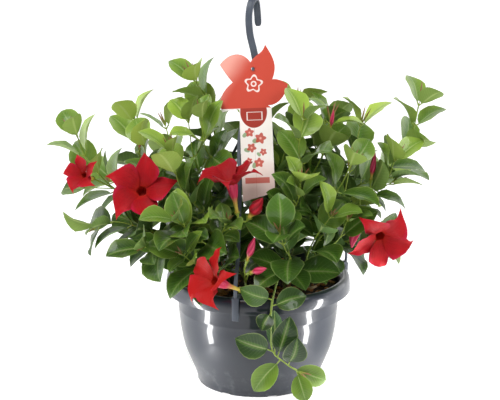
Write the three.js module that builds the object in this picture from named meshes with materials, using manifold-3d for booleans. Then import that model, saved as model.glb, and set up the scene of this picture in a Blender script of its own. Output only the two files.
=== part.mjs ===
// A climbing mandevilla in a hanging pot.
// Millimetres, +Z up, the front towards -Y, the origin at the centre of the pot's flat base.

import * as THREE from 'three';
import { mergeVertices } from 'three/addons/utils/BufferGeometryUtils.js';
import Module from 'manifold-3d';

const wasm = await Module();
wasm.setup();

// ---- Driving dimensions

const TOUCH_GAP = 0.3; // between pieces that touch

const BASE_RADIUS = 82.6;
const WALL_TOP_RADIUS = 110;
const SKIRT_RADIUS = 125.2;
const SKIRT_BOTTOM = 129;
const RIM_TOP = 149;
const WALL = 2; // thickness of the pot's wall
const FLOOR = 3; // thickness of the pot's floor
const POT_SIDES = 22;
const FOOT_NOTCHES = 8;
const NOTCH_SIZE = [12, 26, 3]; // through the foot ring, along it and upwards

const SOIL_TOP = 136.5;
const SOIL_SIDES = 13;
const HOLE_DEPTH = 22; // how deep a stem stands in the soil
const HOLE_RADIUS = 3.5;
const BARK_CHIPS = 5;
const GOLDEN_TURN = 0.382; // the fraction of a turn from one chip to the next

const STRAP_WIDTH = 4.7;
const STRAP_THICKNESS = 3;
const CLIP_WIDTH = 8.7;
const HUB = [0, 0, 381];
const HUB_RADIUS = 7;

const CARD = 0.8; // thickness of the tag
const BLADE = 0.8; // thickness of a leaf or petal
const GUARD = 0.7; // how much thicker a blade is taken to be when it is kept clear of its neighbours

const LEAF_LENGTH = 62; // a full-grown leaf with its stalk
const LEAF_SHAPE = 0.66; // its width for its length
const LEAF_STALK = 0.14; // the part of that length that is stalk
const LEAF_FOLD = 0.3; // how steeply its halves rise from the midrib
const LEAF_CAMBER = 0.09; // how high it arches, for its length
const LEAF_ROWS = [0.3, 0.72]; // where its facets meet, from the blade's base to its tip
const LEAF_FULLNESS = 1.1; // makes up for the corners that facets cut off the outline
const SMALL_LEAF = 36; // below this length a leaf has fewer facets

const LAST_PAIR = 0.985; // the fraction of a stem where its last leaves stand
const CROWDING = 0.3; // how much closer together the leaf pairs are at the tip
const STEM_STEP = 42; // the longest stretch of a stem without a facet's end
const SOCKET = 2.6; // the length of stem that a leaf's stalk grows from
const LEAST_STALK = 4.5;
const LEAST_SPREAD = 34; // the least angle between a leaf and its stem, in degrees

const PETAL_REACH = 50; // from the middle of a bloom to a petal's tip
const THROAT_RADIUS = 8.5;

// ---- Materials

const finish = (color, roughness, metalness = 0) =>
  new THREE.MeshStandardMaterial({ color, roughness, metalness });

const potPlastic = finish(0x4a505c, 0.3);
const hangerPlastic = finish(0x3c434e, 0.4);
const earth = finish(0x2f2017, 0.95);
const card = finish(0xd8452f, 0.45);
const foliage = finish(0x4f8a2c, 0.35);
const redPetal = finish(0xc4141c, 0.5);
const pinkBud = finish(0xc02448, 0.5);

// ---- Vectors and seeded draws

const vec = (x, y, z) => new THREE.Vector3(x, y, z);
const point = ([x, y, z]) => new THREE.Vector3(x, y, z);
const UP = vec(0, 0, 1);
const across = (direction, hint) => hint.clone().addScaledVector(direction, -hint.dot(direction)).normalize();
const shifted = (start, ...steps) =>
  steps.reduce((at, [direction, distance]) => at.addScaledVector(direction, distance), start.clone());

// A whole-number congruential sequence, so that the same seed gives the same draws anywhere.
function seededDraws(seed) {
  let state = (seed % 2147483646) + 1;
  const draw = () => {
    state = (state * 16807) % 2147483647;
    return state / 2147483647;
  };
  draw();
  draw();
  return draw;
}

// ---- Closed meshes as plain lists of points and faces

// Rings of equally many points, each counter-clockwise about the way ahead, closed at both ends.
// The facets numbered in open, ring by ring, are left out.
function skin(rings, open = new Set()) {
  const sides = rings[0].length;
  const faces = [];
  for (let ring = 0; ring + 1 < rings.length; ring++) {
    for (let side = 0; side < sides; side++) {
      const next = (side + 1) % sides;
      const a = ring * sides + side;
      const b = ring * sides + next;
      if (open.has(a)) continue;
      faces.push([a, b, b + sides], [a, b + sides, a + sides]);
    }
  }
  const last = (rings.length - 1) * sides;
  for (let side = 1; side + 1 < sides; side++) {
    faces.push([0, side + 1, side], [last, last + side, last + side + 1]);
  }
  return { points: rings.flat(), faces };
}

// A section carried along a curve. sideHint settles which way the section's first axis points.
function sweep(curve, steps, sectionAt, sideHint) {
  const rings = [];
  for (let step = 0; step <= steps; step++) {
    const along = step / steps;
    const centre = curve.getPointAt(along);
    const ahead = curve.getTangentAt(along);
    const side = across(ahead, sideHint);
    const other = ahead.clone().cross(side);
    rings.push(sectionAt(along).map(([a, b]) => shifted(centre, [side, a], [other, b])));
  }
  return skin(rings);
}

function roundSection(radius, sides) {
  return Array.from({ length: sides }, (_, corner) => {
    const angle = (2 * Math.PI * corner) / sides;
    return [radius * Math.cos(angle), radius * Math.sin(angle)];
  });
}

const flatSection = (width, height) => [
  [width / 2, height / 2], [-width / 2, height / 2], [-width / 2, -height / 2], [width / 2, -height / 2],
];

const curveThrough = (points) => new THREE.CatmullRomCurve3(points, false, 'catmullrom', 0.5);

// Triangles between two runs of points side by side. Where both runs could step on at the same
// place, the longer one waits, and between equal runs firstLeads says which one steps first.
function stitchRuns(first, second, firstLeads) {
  const faces = [];
  const leads = first.length === second.length ? firstLeads : first.length < second.length;
  let [i, j] = [0, 0];
  while (i + 1 < first.length || j + 1 < second.length) {
    const nextFirst = i + 1 < first.length ? (i + 1) / (first.length - 1) : Infinity;
    const nextSecond = j + 1 < second.length ? (j + 1) / (second.length - 1) : Infinity;
    if (nextFirst < nextSecond || (nextFirst === nextSecond && leads)) {
      faces.push([first[i], first[i + 1], second[j]]);
      i++;
    } else {
      faces.push([first[i], second[j + 1], second[j]]);
      j++;
    }
  }
  return faces;
}

// A thin plate that follows rows of points from base to tip. A row holds the points of its upper
// face from left to right, and of its lower face from right to left. Both faces are split alike.
// A plate with an open base grows from another mesh that has the same points there.
function plate(rows, openBase = false) {
  const points = [];
  const numbered = rows.map((row) => row.map((run) => run.map((at) => points.push(at) - 1)));
  const [top, bottom] = numbered[0];
  const faces = openBase ? [] : [[top[0], bottom[0], top.at(-1)]];
  if (!openBase && bottom.length === 2) faces.push([top[0], bottom[1], bottom[0]]);
  for (let row = 0; row + 1 < rows.length; row++) {
    const [upper, lower] = numbered[row];
    const [nextUpper, nextLower] = numbered[row + 1];
    faces.push(...stitchRuns(upper, nextUpper, true));
    faces.push(...stitchRuns([upper.at(-1), lower[0]], [nextUpper.at(-1), nextLower[0]], true));
    faces.push(...stitchRuns(lower, nextLower, false));
    faces.push(...stitchRuns([lower.at(-1), upper[0]], [nextLower.at(-1), nextUpper[0]], true));
  }
  return { points, faces };
}

function joined(meshes) {
  const points = [];
  const faces = [];
  for (const mesh of meshes) {
    const start = points.length;
    points.push(...mesh.points);
    faces.push(...mesh.faces.map((face) => face.map((i) => i + start)));
  }
  return { points, faces };
}

// A row of a plate, from points of its middle surface, half its thickness either side.
const plateRow = (middle, normal, half) => [
  middle.map((at) => shifted(at, [normal, half])),
  middle.toReversed().map((at) => shifted(at, [normal, -half])),
];

// ---- Solids

function geometryOf({ points, faces }) {
  const geometry = new THREE.BufferGeometry();
  geometry.setAttribute('position', new THREE.Float32BufferAttribute(points.flatMap((p) => p.toArray()), 3));
  geometry.setIndex(faces.flat());
  return geometry;
}

function solidOf(geometry) {
  const bare = geometry.clone();
  bare.deleteAttribute('normal');
  bare.deleteAttribute('uv');
  const merged = mergeVertices(bare, 1e-4);
  return new wasm.Manifold(new wasm.Mesh({
    numProp: 3,
    vertProperties: new Float32Array(merged.attributes.position.array),
    triVerts: new Uint32Array(merged.index.array),
  }));
}

function geometryOfSolid(solid) {
  const mesh = solid.getMesh();
  const geometry = new THREE.BufferGeometry();
  geometry.setAttribute('position', new THREE.BufferAttribute(mesh.vertProperties, 3));
  geometry.setIndex(new THREE.BufferAttribute(mesh.triVerts, 1));
  return geometry;
}

const fused = (geometries) => geometries.map(solidOf).reduce((whole, part) => whole.add(part));

const plant = new THREE.Group();

function addPiece(name, geometry, material) {
  geometry.computeVertexNormals();
  const mesh = new THREE.Mesh(geometry, material);
  mesh.name = name;
  plant.add(mesh);
}

function turned(profile, sides) {
  const outline = profile.map(([r, z]) => new THREE.Vector2(r, z));
  return new THREE.LatheGeometry(outline, sides).rotateX(Math.PI / 2);
}

// ---- Pot: a thin moulded shell with a rim that rolls out into a skirt, and a notched foot

function makePot() {
  const shell = turned([
    [0, 0], [BASE_RADIUS, 0], [BASE_RADIUS + 0.8, 8], [90.6, 26], [99.3, 48], [106, 82],
    [WALL_TOP_RADIUS, 138], [113.5, 145.5], [121, 145.5], [SKIRT_RADIUS - 1.8, SKIRT_BOTTOM],
    [SKIRT_RADIUS, SKIRT_BOTTOM], [124.6, 141], [121, RIM_TOP], [115.6, RIM_TOP],
    [WALL_TOP_RADIUS - WALL, 137], [97.2, 48], [88.4, 26], [80.4, FLOOR], [0, FLOOR],
  ], POT_SIDES);
  let solid = solidOf(shell);
  for (let notch = 0; notch < FOOT_NOTCHES; notch++) {
    const cutter = new THREE.BoxGeometry(...NOTCH_SIZE).translate(BASE_RADIUS, 0, 0);
    solid = solid.subtract(solidOf(cutter.rotateZ((2 * Math.PI * (notch + 0.3)) / FOOT_NOTCHES)));
  }
  return geometryOfSolid(solid);
}

// ---- Soil: the root ball, with a lumpy top, bark chips and a plain hole for each stem

const soilBump = (x, y) =>
  1.5 * Math.sin(0.13 * x + 0.5) * Math.cos(0.11 * y - 0.8) + 0.9 * Math.sin(0.31 * x + 0.27 * y);

function makeSoil(stemFeet) {
  const ball = turned([
    [0, FLOOR + TOUCH_GAP], [79.2, FLOOR + TOUCH_GAP], [86.8, 26], [95.4, 48], [105.8, SOIL_TOP - 6],
    [103, SOIL_TOP - 1], [80, SOIL_TOP], [46, SOIL_TOP], [0, SOIL_TOP],
  ], SOIL_SIDES);
  const spots = ball.attributes.position;
  for (let i = 0; i < spots.count; i++) {
    const [x, y, z] = [spots.getX(i), spots.getY(i), spots.getZ(i)];
    if (z > SOIL_TOP - 0.5) spots.setZ(i, z + soilBump(x, y));
  }
  let solid = solidOf(ball);
  const draw = seededDraws(41);
  for (let chip = 0; chip < BARK_CHIPS; chip++) {
    const angle = 2 * Math.PI * (chip + 0.4 * draw()) * GOLDEN_TURN;
    const reach = 84 + 10 * draw();
    const bark = new THREE.BoxGeometry(12 + 9 * draw(), 6 + 4 * draw(), 4);
    bark.rotateX(0.5 * draw() - 0.25).rotateY(0.3 * draw() - 0.15).rotateZ(Math.PI * draw());
    bark.translate(reach * Math.cos(angle), reach * Math.sin(angle), SOIL_TOP + 0.6);
    solid = solid.add(solidOf(bark));
  }
  for (const [x, y] of stemFeet) {
    const hole = new THREE.CylinderGeometry(HOLE_RADIUS, HOLE_RADIUS, 40, 5).rotateX(Math.PI / 2);
    solid = solid.subtract(solidOf(hole.translate(x, y, SOIL_TOP - HOLE_DEPTH - TOUCH_GAP + 20)));
  }
  return geometryOfSolid(solid);
}

// ---- Hanger: a ribbed hook on a stem, a hub below it and three straps clipped over the rim

const hookCurve = curveThrough([
  [0, 0, 374], [-1, 0, 405], [-2.5, 0, 432], [-6, 0, 452], [-11, 0, 474], [-12.5, 1, 496],
  [-10, 7, 512], [-5.5, 17, 517.5], [-2.5, 27, 510], [-1, 31, 496], [0, 31.5, 480],
].map(point));

const hookSection = [[4.7, 0], [2, 3], [-2, 3], [-4.7, 0], [-2, -3], [2, -3]];

function makeHook() {
  const rod = geometryOf(sweep(hookCurve, 15, () => hookSection, vec(1, 0, 0)));
  const hub = new THREE.CylinderGeometry(HUB_RADIUS, HUB_RADIUS, 12, 9).rotateX(Math.PI / 2);
  const peg = new THREE.CylinderGeometry(1.6, 1.6, 15, 6).translate(-7, -8.5, 430);
  return geometryOfSolid(fused([rod, hub.translate(...HUB), peg]));
}

const STRAPS = [
  {
    name: 'hanger_strap_front', angle: 256.5,
    bend: [[-16, -16, 374], [-25, -34, 340], [-24, -66, 280], [-26, -98, 209]],
  },
  {
    name: 'hanger_strap_right', angle: 18,
    bend: [[18, 8, 346], [44, 19, 292], [84, 29, 216]],
  },
  {
    name: 'hanger_strap_left', angle: 138,
    bend: [[-16, 14, 347], [-40, 34, 293], [-71, 61, 216]],
  },
];

function strapCurve({ angle, bend }) {
  const turn = THREE.MathUtils.degToRad(angle);
  const out = vec(Math.cos(turn), Math.sin(turn), 0);
  const from = point(bend[0]).sub(point(HUB)).setZ(0).normalize();
  return curveThrough([
    shifted(point(HUB), [from, HUB_RADIUS + 0.5]), shifted(point(HUB), [from, HUB_RADIUS + 5], [UP, -0.5]),
    ...bend.map(point), shifted(vec(0, 0, 172), [out, 124.6]), shifted(vec(0, 0, 149), [out, 127.4]),
  ]);
}

function strapSideways({ angle }) {
  const turn = THREE.MathUtils.degToRad(angle);
  return vec(-Math.sin(turn), Math.cos(turn), 0);
}

function makeStrap(strap) {
  const section = flatSection(STRAP_WIDTH, STRAP_THICKNESS);
  const band = geometryOf(sweep(strapCurve(strap), 10, () => section, strapSideways(strap)));
  const clip = new THREE.Shape([
    [125.7, 121], [128.4, 121], [129.6, 151.5], [126, 153], [110.5, 153], [109, 151], [109, 143.5],
    [110.9, 143.5], [111.4, 150], [125.7, 150],
  ].map(([r, z]) => new THREE.Vector2(r, z)));
  const clipBody = new THREE.ExtrudeGeometry(clip, { depth: CLIP_WIDTH, bevelEnabled: false });
  clipBody.translate(0, 0, -CLIP_WIDTH / 2).rotateX(Math.PI / 2);
  clipBody.rotateZ(THREE.MathUtils.degToRad(strap.angle));
  return geometryOfSolid(fused([band, clipBody]));
}

// ---- Tag: a die-cut card, a flower-shaped head on a long strip, hung by a hole on the hook's peg

const TAG_HOLE = vec(-7, -12, 430);
const TAG_DOWN = vec(0.04, -0.36, -0.93).normalize();
const TAG_RIGHT = across(TAG_DOWN, vec(1, 0, 0));
const TAG_FACE = TAG_RIGHT.clone().cross(TAG_DOWN).negate();

function makeTag() {
  const outline = new THREE.Shape();
  outline.moveTo(-3, 8.6);
  outline.bezierCurveTo(4, 20, 13, 18, 17, 31.5);
  outline.bezierCurveTo(24, 18, 34, 6, 24.5, -15);
  outline.bezierCurveTo(32, -14, 38, -18, 44.5, -22);
  outline.bezierCurveTo(40, -42, 26, -52, 14, -48);
  outline.lineTo(22, -52);
  outline.lineTo(22, -174);
  outline.lineTo(-20, -174);
  outline.lineTo(-20, -53);
  outline.bezierCurveTo(-27, -52, -34, -54, -42, -56);
  outline.bezierCurveTo(-48, -42, -42, -28, -27, -17);
  outline.bezierCurveTo(-33, -10, -38, -2, -43, 7);
  outline.bezierCurveTo(-30, 24, -12, 24, -3, 8.6);
  const flat = new THREE.ExtrudeGeometry(outline, { depth: CARD, bevelEnabled: false, curveSegments: 3 });
  const hole = new THREE.CylinderGeometry(2.4, 2.4, 10, 8).rotateX(Math.PI / 2);
  const frame = new THREE.Matrix4().makeBasis(TAG_RIGHT, TAG_DOWN.clone().negate(), TAG_FACE);
  frame.setPosition(TAG_HOLE);
  return geometryOfSolid(solidOf(flat.applyMatrix4(frame)).subtract(solidOf(hole.applyMatrix4(frame))));
}

// ---- Leafy stems
// Each shoot is a line of points to its tip. A main stem starts in the soil, at its foot, and a side
// shoot starts on the shoot it is of, at that fraction of its length. Leaves stand in pairs from
// the fraction first to near the tip, each pair a quarter turn from the last.

const SHOOTS = [
  {
    name: 'stem_far_left', foot: [-44, -8], pairs: 7, first: 0.34, roll: 10,
    route: [[-52, -9, 180], [-82, -12, 222], [-177, -20, 262], [-222, -30, 308], [-238, -30, 347]],
  },
  {
    name: 'stem_left_back', foot: [-40, 26], pairs: 6, first: 0.34, roll: 50,
    route: [[-48, 30, 190], [-78, 32, 242], [-146, 45, 274], [-164, 50, 314], [-168, 50, 350]],
  },
  {
    of: 'stem_left_back', at: 0.42, pairs: 3, first: 0.3, roll: 20,
    route: [[-128, 34, 246], [-186, 42, 254], [-234, 44, 256]],
  },
  {
    name: 'stem_high_left', foot: [-20, 18], pairs: 7, first: 0.3, roll: 30,
    route: [[-28, 22, 190], [-44, 28, 242], [-56, 30, 318], [-66, 20, 372], [-84, 10, 412]],
  },
  {
    of: 'stem_high_left', at: 0.3, pairs: 3, first: 0.34, roll: 0,
    route: [[-62, 6, 252], [-84, -14, 308], [-92, -18, 362]],
  },
  {
    of: 'stem_high_left', at: 0.44, pairs: 4, first: 0.26, roll: 50,
    route: [[-62, -6, 306], [-70, -40, 334], [-74, -50, 372]],
  },
  {
    name: 'stem_left_front', foot: [-38, -40], pairs: 5, first: 0.36, roll: 60,
    route: [[-46, -46, 190], [-66, -58, 240], [-100, -70, 284], [-112, -70, 334]],
  },
  {
    of: 'stem_left_front', at: 0.3, pairs: 3, first: 0.4, roll: 15,
    route: [[-74, -78, 216], [-92, -104, 238], [-104, -118, 256]],
  },
  {
    of: 'stem_left_front', at: 0.5, pairs: 3, first: 0.34, roll: 35,
    route: [[-112, -48, 256], [-138, -34, 290], [-150, -26, 328]],
  },
  {
    name: 'stem_low_left', foot: [-64, -22], pairs: 6, first: 0.36, roll: 0,
    route: [[-74, -26, 172], [-106, -34, 203], [-156, -50, 226], [-188, -52, 234], [-212, -50, 226]],
  },
  {
    of: 'stem_low_left', at: 0.3, pairs: 3, first: 0.34, roll: 40,
    route: [[-112, -62, 204], [-132, -84, 208], [-146, -100, 214]],
  },
  {
    name: 'stem_far_right', foot: [40, 0], pairs: 7, first: 0.32, roll: 25,
    route: [[48, 0, 184], [72, -2, 232], [149, 0, 280], [198, 0, 328], [213, 0, 384]],
  },
  {
    of: 'stem_far_right', at: 0.4, pairs: 3, first: 0.3, roll: 70,
    route: [[112, 26, 276], [128, 34, 306], [138, 32, 346]],
  },
  {
    of: 'stem_far_right', at: 0.56, pairs: 3, first: 0.34, roll: 10,
    route: [[160, -26, 276], [170, -38, 290], [178, -42, 314]],
  },
  {
    name: 'stem_back_middle', foot: [12, 34], pairs: 5, first: 0.32, roll: 45,
    route: [[16, 44, 190], [26, 56, 249], [44, 60, 312], [54, 58, 370]],
  },
  {
    of: 'stem_back_middle', at: 0.26, pairs: 3, first: 0.4, roll: 10,
    route: [[14, 34, 262], [10, 26, 310], [8, 24, 346]],
  },
  {
    of: 'stem_back_middle', at: 0.5, pairs: 3, first: 0.3, roll: 65,
    route: [[64, 36, 292], [82, 26, 320], [90, 20, 352]],
  },
  {
    name: 'stem_right_middle', foot: [34, -26], pairs: 5, first: 0.32, roll: 80,
    route: [[42, -28, 190], [58, -26, 262], [84, -22, 316], [94, -20, 362]],
  },
  {
    of: 'stem_right_middle', at: 0.34, pairs: 3, first: 0.34, roll: 20,
    route: [[78, -54, 252], [104, -76, 286], [118, -84, 318]],
  },
  {
    of: 'stem_right_middle', at: 0.5, pairs: 4, first: 0.26, roll: 40,
    route: [[62, -48, 294], [52, -62, 332], [58, -64, 374]],
  },
  {
    name: 'stem_right_low', foot: [60, -18], pairs: 5, first: 0.36, roll: 0,
    route: [[68, -22, 176], [92, -32, 222], [134, -42, 262], [174, -42, 284]],
  },
  {
    of: 'stem_right_low', at: 0.28, pairs: 3, first: 0.5, roll: 50,
    route: [[104, -38, 200], [130, -44, 206], [154, -50, 210]],
  },
  {
    of: 'stem_right_low', at: 0.42, pairs: 3, first: 0.34, roll: 75,
    route: [[98, -54, 232], [110, -58, 264], [118, -52, 302]],
  },
  {
    name: 'stem_trailing', foot: [34, -58], pairs: 0,
    route: [
      [36, -66, 168], [34, -92, 186], [25, -118, 176], [17, -136, 148],
      [16, -143, 115], [18, -145, 88], [34, -145, 72], [51, -145, 60],
    ],
  },
  {
    of: 'stem_trailing', at: 0.12, pairs: 4, first: 0.3, roll: 0,
    route: [[44, -84, 186], [34, -104, 212], [27, -120, 238]],
  },
  {
    name: 'stem_middle', foot: [6, -24], pairs: 4, first: 0.36, roll: 20,
    route: [[10, -30, 184], [18, -38, 232], [24, -36, 284], [36, -32, 328]],
  },
  {
    of: 'stem_middle', at: 0.4, pairs: 3, first: 0.36, roll: 65,
    route: [[34, -64, 246], [50, -84, 268], [54, -92, 300]],
  },
  {
    name: 'stem_front_middle', foot: [-16, -46], pairs: 3, first: 0.42, roll: 70,
    route: [[-26, -58, 174], [-44, -78, 200], [-48, -96, 226], [-40, -110, 250]],
  },
  {
    of: 'stem_front_middle', at: 0.3, pairs: 3, first: 0.36, roll: 20,
    route: [[-56, -92, 186], [-80, -112, 194], [-96, -122, 210]],
  },
  {
    name: 'stem_front_right', foot: [58, -46], pairs: 4, first: 0.32, roll: 35,
    route: [[62, -52, 176], [70, -78, 212], [92, -100, 254]],
  },
  {
    of: 'stem_front_right', at: 0.34, pairs: 3, first: 0.4, roll: 60,
    route: [[84, -62, 196], [104, -80, 218], [114, -90, 246]],
  },
  {
    name: 'stem_back_left', foot: [-28, 52], pairs: 4, first: 0.32, roll: 15,
    route: [[-40, 62, 186], [-76, 86, 228], [-112, 112, 268], [-130, 136, 322]],
  },
  {
    of: 'stem_back_left', at: 0.32, pairs: 2, first: 0.32, roll: 60,
    route: [[-108, 92, 222], [-160, 104, 240], [-204, 112, 248]],
  },
  {
    name: 'stem_back', foot: [2, 62], pairs: 4, first: 0.32, roll: 30,
    route: [[0, 78, 188], [-8, 104, 244], [-18, 124, 296], [-24, 134, 344]],
  },
  {
    of: 'stem_back', at: 0.24, pairs: 2, first: 0.32, roll: 0,
    route: [[22, 104, 200], [36, 138, 214], [44, 172, 216]],
  },
  {
    name: 'stem_back_right', foot: [38, 46], pairs: 4, first: 0.32, roll: 75,
    route: [[48, 56, 186], [66, 78, 232], [88, 104, 276], [100, 122, 330]],
  },
  {
    of: 'stem_back_right', at: 0.3, pairs: 3, first: 0.3, roll: 20,
    route: [[96, 74, 222], [138, 90, 240], [172, 104, 260]],
  },
];

// The leaves of the trailing shoot, one by one: the fraction of its length, the tip, the width and
// the way that the upper face looks.
const TRAILING_LEAVES = [
  { at: 0.83, tip: [-30, -158, 110], width: 35, face: [-0.2, -1, 0.3] },
  { at: 0.89, tip: [-6, -146, 34], width: 31, face: [0, -1, 0.2] },
  { at: 0.99, tip: [61, -154, 22], width: 27, face: [0, -1, 0.1] },
  { at: 0.94, tip: [49, -160, 112], width: 30, face: [0.1, -1, -0.2] },
  { at: 0.965, tip: [88, -128, 42], width: 27, face: [0.2, -1, 0.4] },
  { at: 0.87, tip: [40, -148, 136], width: 33, face: [0.2, -1, 0.1] },
  { at: 0.6, tip: [61, -134, 158], width: 30, face: [0.1, -0.9, 0.5] },
  { at: 0.57, tip: [-24, -150, 174], width: 27, face: [-0.4, -0.9, 0.3] },
  { at: 0.63, tip: [4, -152, 118], width: 24, face: [-0.3, -1, 0.2] },
  { at: 0.4, tip: [-4, -140, 168], width: 32, face: [-0.4, -0.8, 0.6] },
  { at: 0.3, tip: [60, -128, 164], width: 34, face: [0.4, -0.8, 0.6] },
  { at: 0.85, tip: [20, -136, 140], width: 22, face: [0, 1, 0.2] },
];

// Stalks that carry a bloom or a bud, each from a fraction of a shoot's length to the calyx. A bloom
// keeps open air in front of its throat, of the radius room.
const BLOOMS = [
  {
    name: 'bloom_left', stem: 'stem_far_left', at: 0.45,
    bend: [-147, -12, 250], calyx: [-149, -20, 256], mouth: [-152, -60, 278],
    roll: 3, spread: 1, cup: 0, room: 34,
  },
  {
    name: 'bloom_middle', stem: 'stem_front_middle', at: 0.8,
    bend: [-30, -101, 242], calyx: [-27, -101, 258], mouth: [-34, -106, 300],
    roll: 20, spread: 0.88, cup: 0.18, room: 30,
  },
  {
    name: 'bloom_front', stem: 'stem_front_middle', at: 0.24,
    bend: [-16, -112, 164], calyx: [-22, -134, 166], mouth: [-56, -160, 187],
    roll: 12, spread: 0.86, cup: 0, room: 30,
  },
  {
    name: 'bloom_right', stem: 'stem_right_low', at: 0.72,
    bend: [140, -32, 262], calyx: [144, -40, 242], mouth: [157, -93, 226],
    roll: 50, spread: 0.94, cup: 0, room: 32,
  },
  {
    name: 'bloom_far_left', stem: 'stem_far_left', at: 0.72,
    bend: [-212, -36, 286], calyx: [-216, -44, 290], mouth: [-226, -64, 300],
    roll: 30, spread: 0.55, cup: 0.25, room: 16,
  },
];

const BUDS = [
  {
    name: 'bud_middle', stem: 'stem_front_middle', at: 0.88,
    bend: [-24, -105, 248], calyx: [-13, -102, 252], tip: [5, -106, 280], radius: 7.8, pink: false,
  },
  {
    name: 'bud_front_upright', stem: 'stem_front_middle', at: 0.16,
    bend: [-18, -106, 184], calyx: [-15, -120, 200], tip: [-5, -125, 233], radius: 4.6, pink: true,
  },
  {
    name: 'bud_front_level', stem: 'stem_front_middle', at: 0.2,
    bend: [-14, -104, 177], calyx: [-12, -124, 186], tip: [10, -136, 196], radius: 4.4, pink: true,
  },
  {
    name: 'bud_right_hanging', stem: 'stem_right_low', at: 0.66,
    bend: [130, -62, 268], calyx: [130, -70, 254], tip: [121, -84, 208], radius: 7.2, pink: true,
  },
  {
    name: 'bud_right_upright', stem: 'stem_right_low', at: 0.78,
    bend: [146, -46, 276], calyx: [147, -46, 288], tip: [152, -46, 326], radius: 3.8, pink: true,
  },
  {
    name: 'bud_right_slim', stem: 'stem_right_middle', at: 0.84,
    bend: [92, -27, 344], calyx: [94, -30, 352], tip: [98, -32, 380], radius: 2.6, pink: true,
  },
  {
    name: 'bud_left_slim', stem: 'stem_left_back', at: 0.72,
    bend: [-163, 36, 306], calyx: [-160, 28, 312], tip: [-158, 24, 334], radius: 2.4, pink: true,
  },
];

const FLARE = 0.8; // the fraction of a stalk where its calyx begins
const stalkSection = (along) => roundSection(along > FLARE ? 1.2 + 8 * (along - FLARE) : 1.2, 4);
const stemRadius = (shoot, along) => (shoot.of ? 1.7 - 0.6 * along : 2.4 - 1.2 * along);

const shootsByName = new Map();

// A pair of leaves stands on two opposite facets of a stem, which are the quadrants 0 and 2 or 1 and 3.
// The pairs are closer together towards the tip.
function pairPlace({ first, pairs }, pair) {
  const part = pairs > 1 ? pair / (pairs - 1) : 1;
  return first + (LAST_PAIR - first) * (part + CROWDING * part * (1 - part));
}

function layShoot(shoot) {
  const parent = shoot.of && shootsByName.get(shoot.of);
  const start = parent
    ? [parent.curve.getPointAt(shoot.at)]
    : [vec(...shoot.foot, SOIL_TOP - HOLE_DEPTH), vec(...shoot.foot, SOIL_TOP + 6)];
  const curve = curveThrough([...start, ...shoot.route.map(point)]);
  const reach = curve.getPoint(1).sub(curve.getPoint(0)).setZ(0).normalize();
  const node = parent ? parent.node : shoot.name;
  const laid = { ...shoot, node, curve, hint: reach.cross(UP), leaves: [] };
  if (shoot.name) shootsByName.set(shoot.name, laid);
  return laid;
}

const laidShoots = SHOOTS.map(layShoot);

// The directions of a stem at one place: ahead, and out through the middle of one of its four facets.
function stemFrame({ curve, hint, roll = 0 }, along) {
  const ahead = curve.getTangentAt(along);
  const first = across(ahead, hint);
  const second = ahead.clone().cross(first);
  const outward = (degrees) => {
    const angle = THREE.MathUtils.degToRad(roll + degrees);
    return first.clone().multiplyScalar(Math.cos(angle)).addScaledVector(second, Math.sin(angle));
  };
  return { ahead, outward };
}

function stemRing(shoot, along) {
  const { outward } = stemFrame(shoot, along);
  const centre = shoot.curve.getPointAt(along);
  return [-45, 45, 135, 225].map((degrees) => shifted(centre, [outward(degrees), stemRadius(shoot, along)]));
}

// Where a stem's facets end: at both ends of each leaf's socket, where something grows from it, and
// between those wherever the stretch is long.
function ringPlaces(shoot) {
  const length = shoot.curve.getLength();
  const halfSocket = SOCKET / 2 / length;
  const leafPlaces = [...new Set(shoot.leaves.map(({ at }) => at))];
  const sockets = leafPlaces.flatMap((at) => [at - halfSocket, at + halfSocket]);
  const clearOf = (others, least) => (at) => others.every((other) => Math.abs(other - at) * length > least);
  const joins = [...SHOOTS, ...BLOOMS, ...BUDS]
    .filter(({ of, stem }) => shoot.name && (of ?? stem) === shoot.name)
    .map(({ at }) => at);
  const steps = Math.round(length / STEM_STEP) + (shoot.of ? 0 : 2);
  const even = Array.from({ length: steps - 1 }, (_, step) => (step + 1) / steps);
  const places = [0, ...sockets, 1];
  places.push(...joins.filter(clearOf(places, 6)));
  places.push(...even.filter(clearOf(places, STEM_STEP / 2)));
  return places.sort((a, b) => a - b);
}

// The bare stem, swollen by extra and close to its curve.
function swollenStem(shoot, extra) {
  const steps = 3 * Math.round(shoot.curve.getLength() / STEM_STEP) + 2;
  return sweep(shoot.curve, steps, (along) => roundSection(stemRadius(shoot, along) + extra, 4), shoot.hint);
}

// A stem with its leaves, in one mesh: each leaf's stalk starts from the four corners of its socket.
function leafyMesh(shoot) {
  const places = ringPlaces(shoot);
  const rings = places.map((at) => stemRing(shoot, at));
  const halfSocket = SOCKET / 2 / shoot.curve.getLength();
  const parts = [];
  const open = new Set();
  for (const { at, quadrant, leaf } of shoot.leaves) {
    const ring = places.indexOf(at - halfSocket);
    const next = (quadrant + 1) % 4;
    open.add(4 * ring + quadrant);
    const [lower, upper] = [rings[ring], rings[ring + 1]];
    const corners = [upper[next], upper[quadrant], lower[quadrant], lower[next]];
    parts.push(plate([socketRow(corners, leaf), ...leafRows(leaf)], true));
  }
  const stem = skin(rings, open);
  return joined([stem, ...parts]);
}

const stalkHint = vec(0.3, 0.9, 0.2);

function stalkCurve({ stem, at, bend, calyx, mouth, tip }) {
  const end = point(calyx);
  const ahead = point(mouth ?? tip).sub(end).normalize();
  const start = shootsByName.get(stem).curve.getPointAt(at);
  return curveThrough([start, point(bend), shifted(end, [ahead, -5]), end]);
}

function stalkMesh(carried, sectionAt) {
  const curve = stalkCurve(carried);
  return sweep(curve, 5, sectionAt, stalkHint.clone().cross(curve.getTangentAt(0.5)));
}

// ---- Leaves

const leafBase = ({ from, tip }) => {
  const whole = from.distanceTo(tip);
  return from.clone().lerp(tip, Math.max(LEAST_STALK / whole, LEAF_STALK));
};

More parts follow.
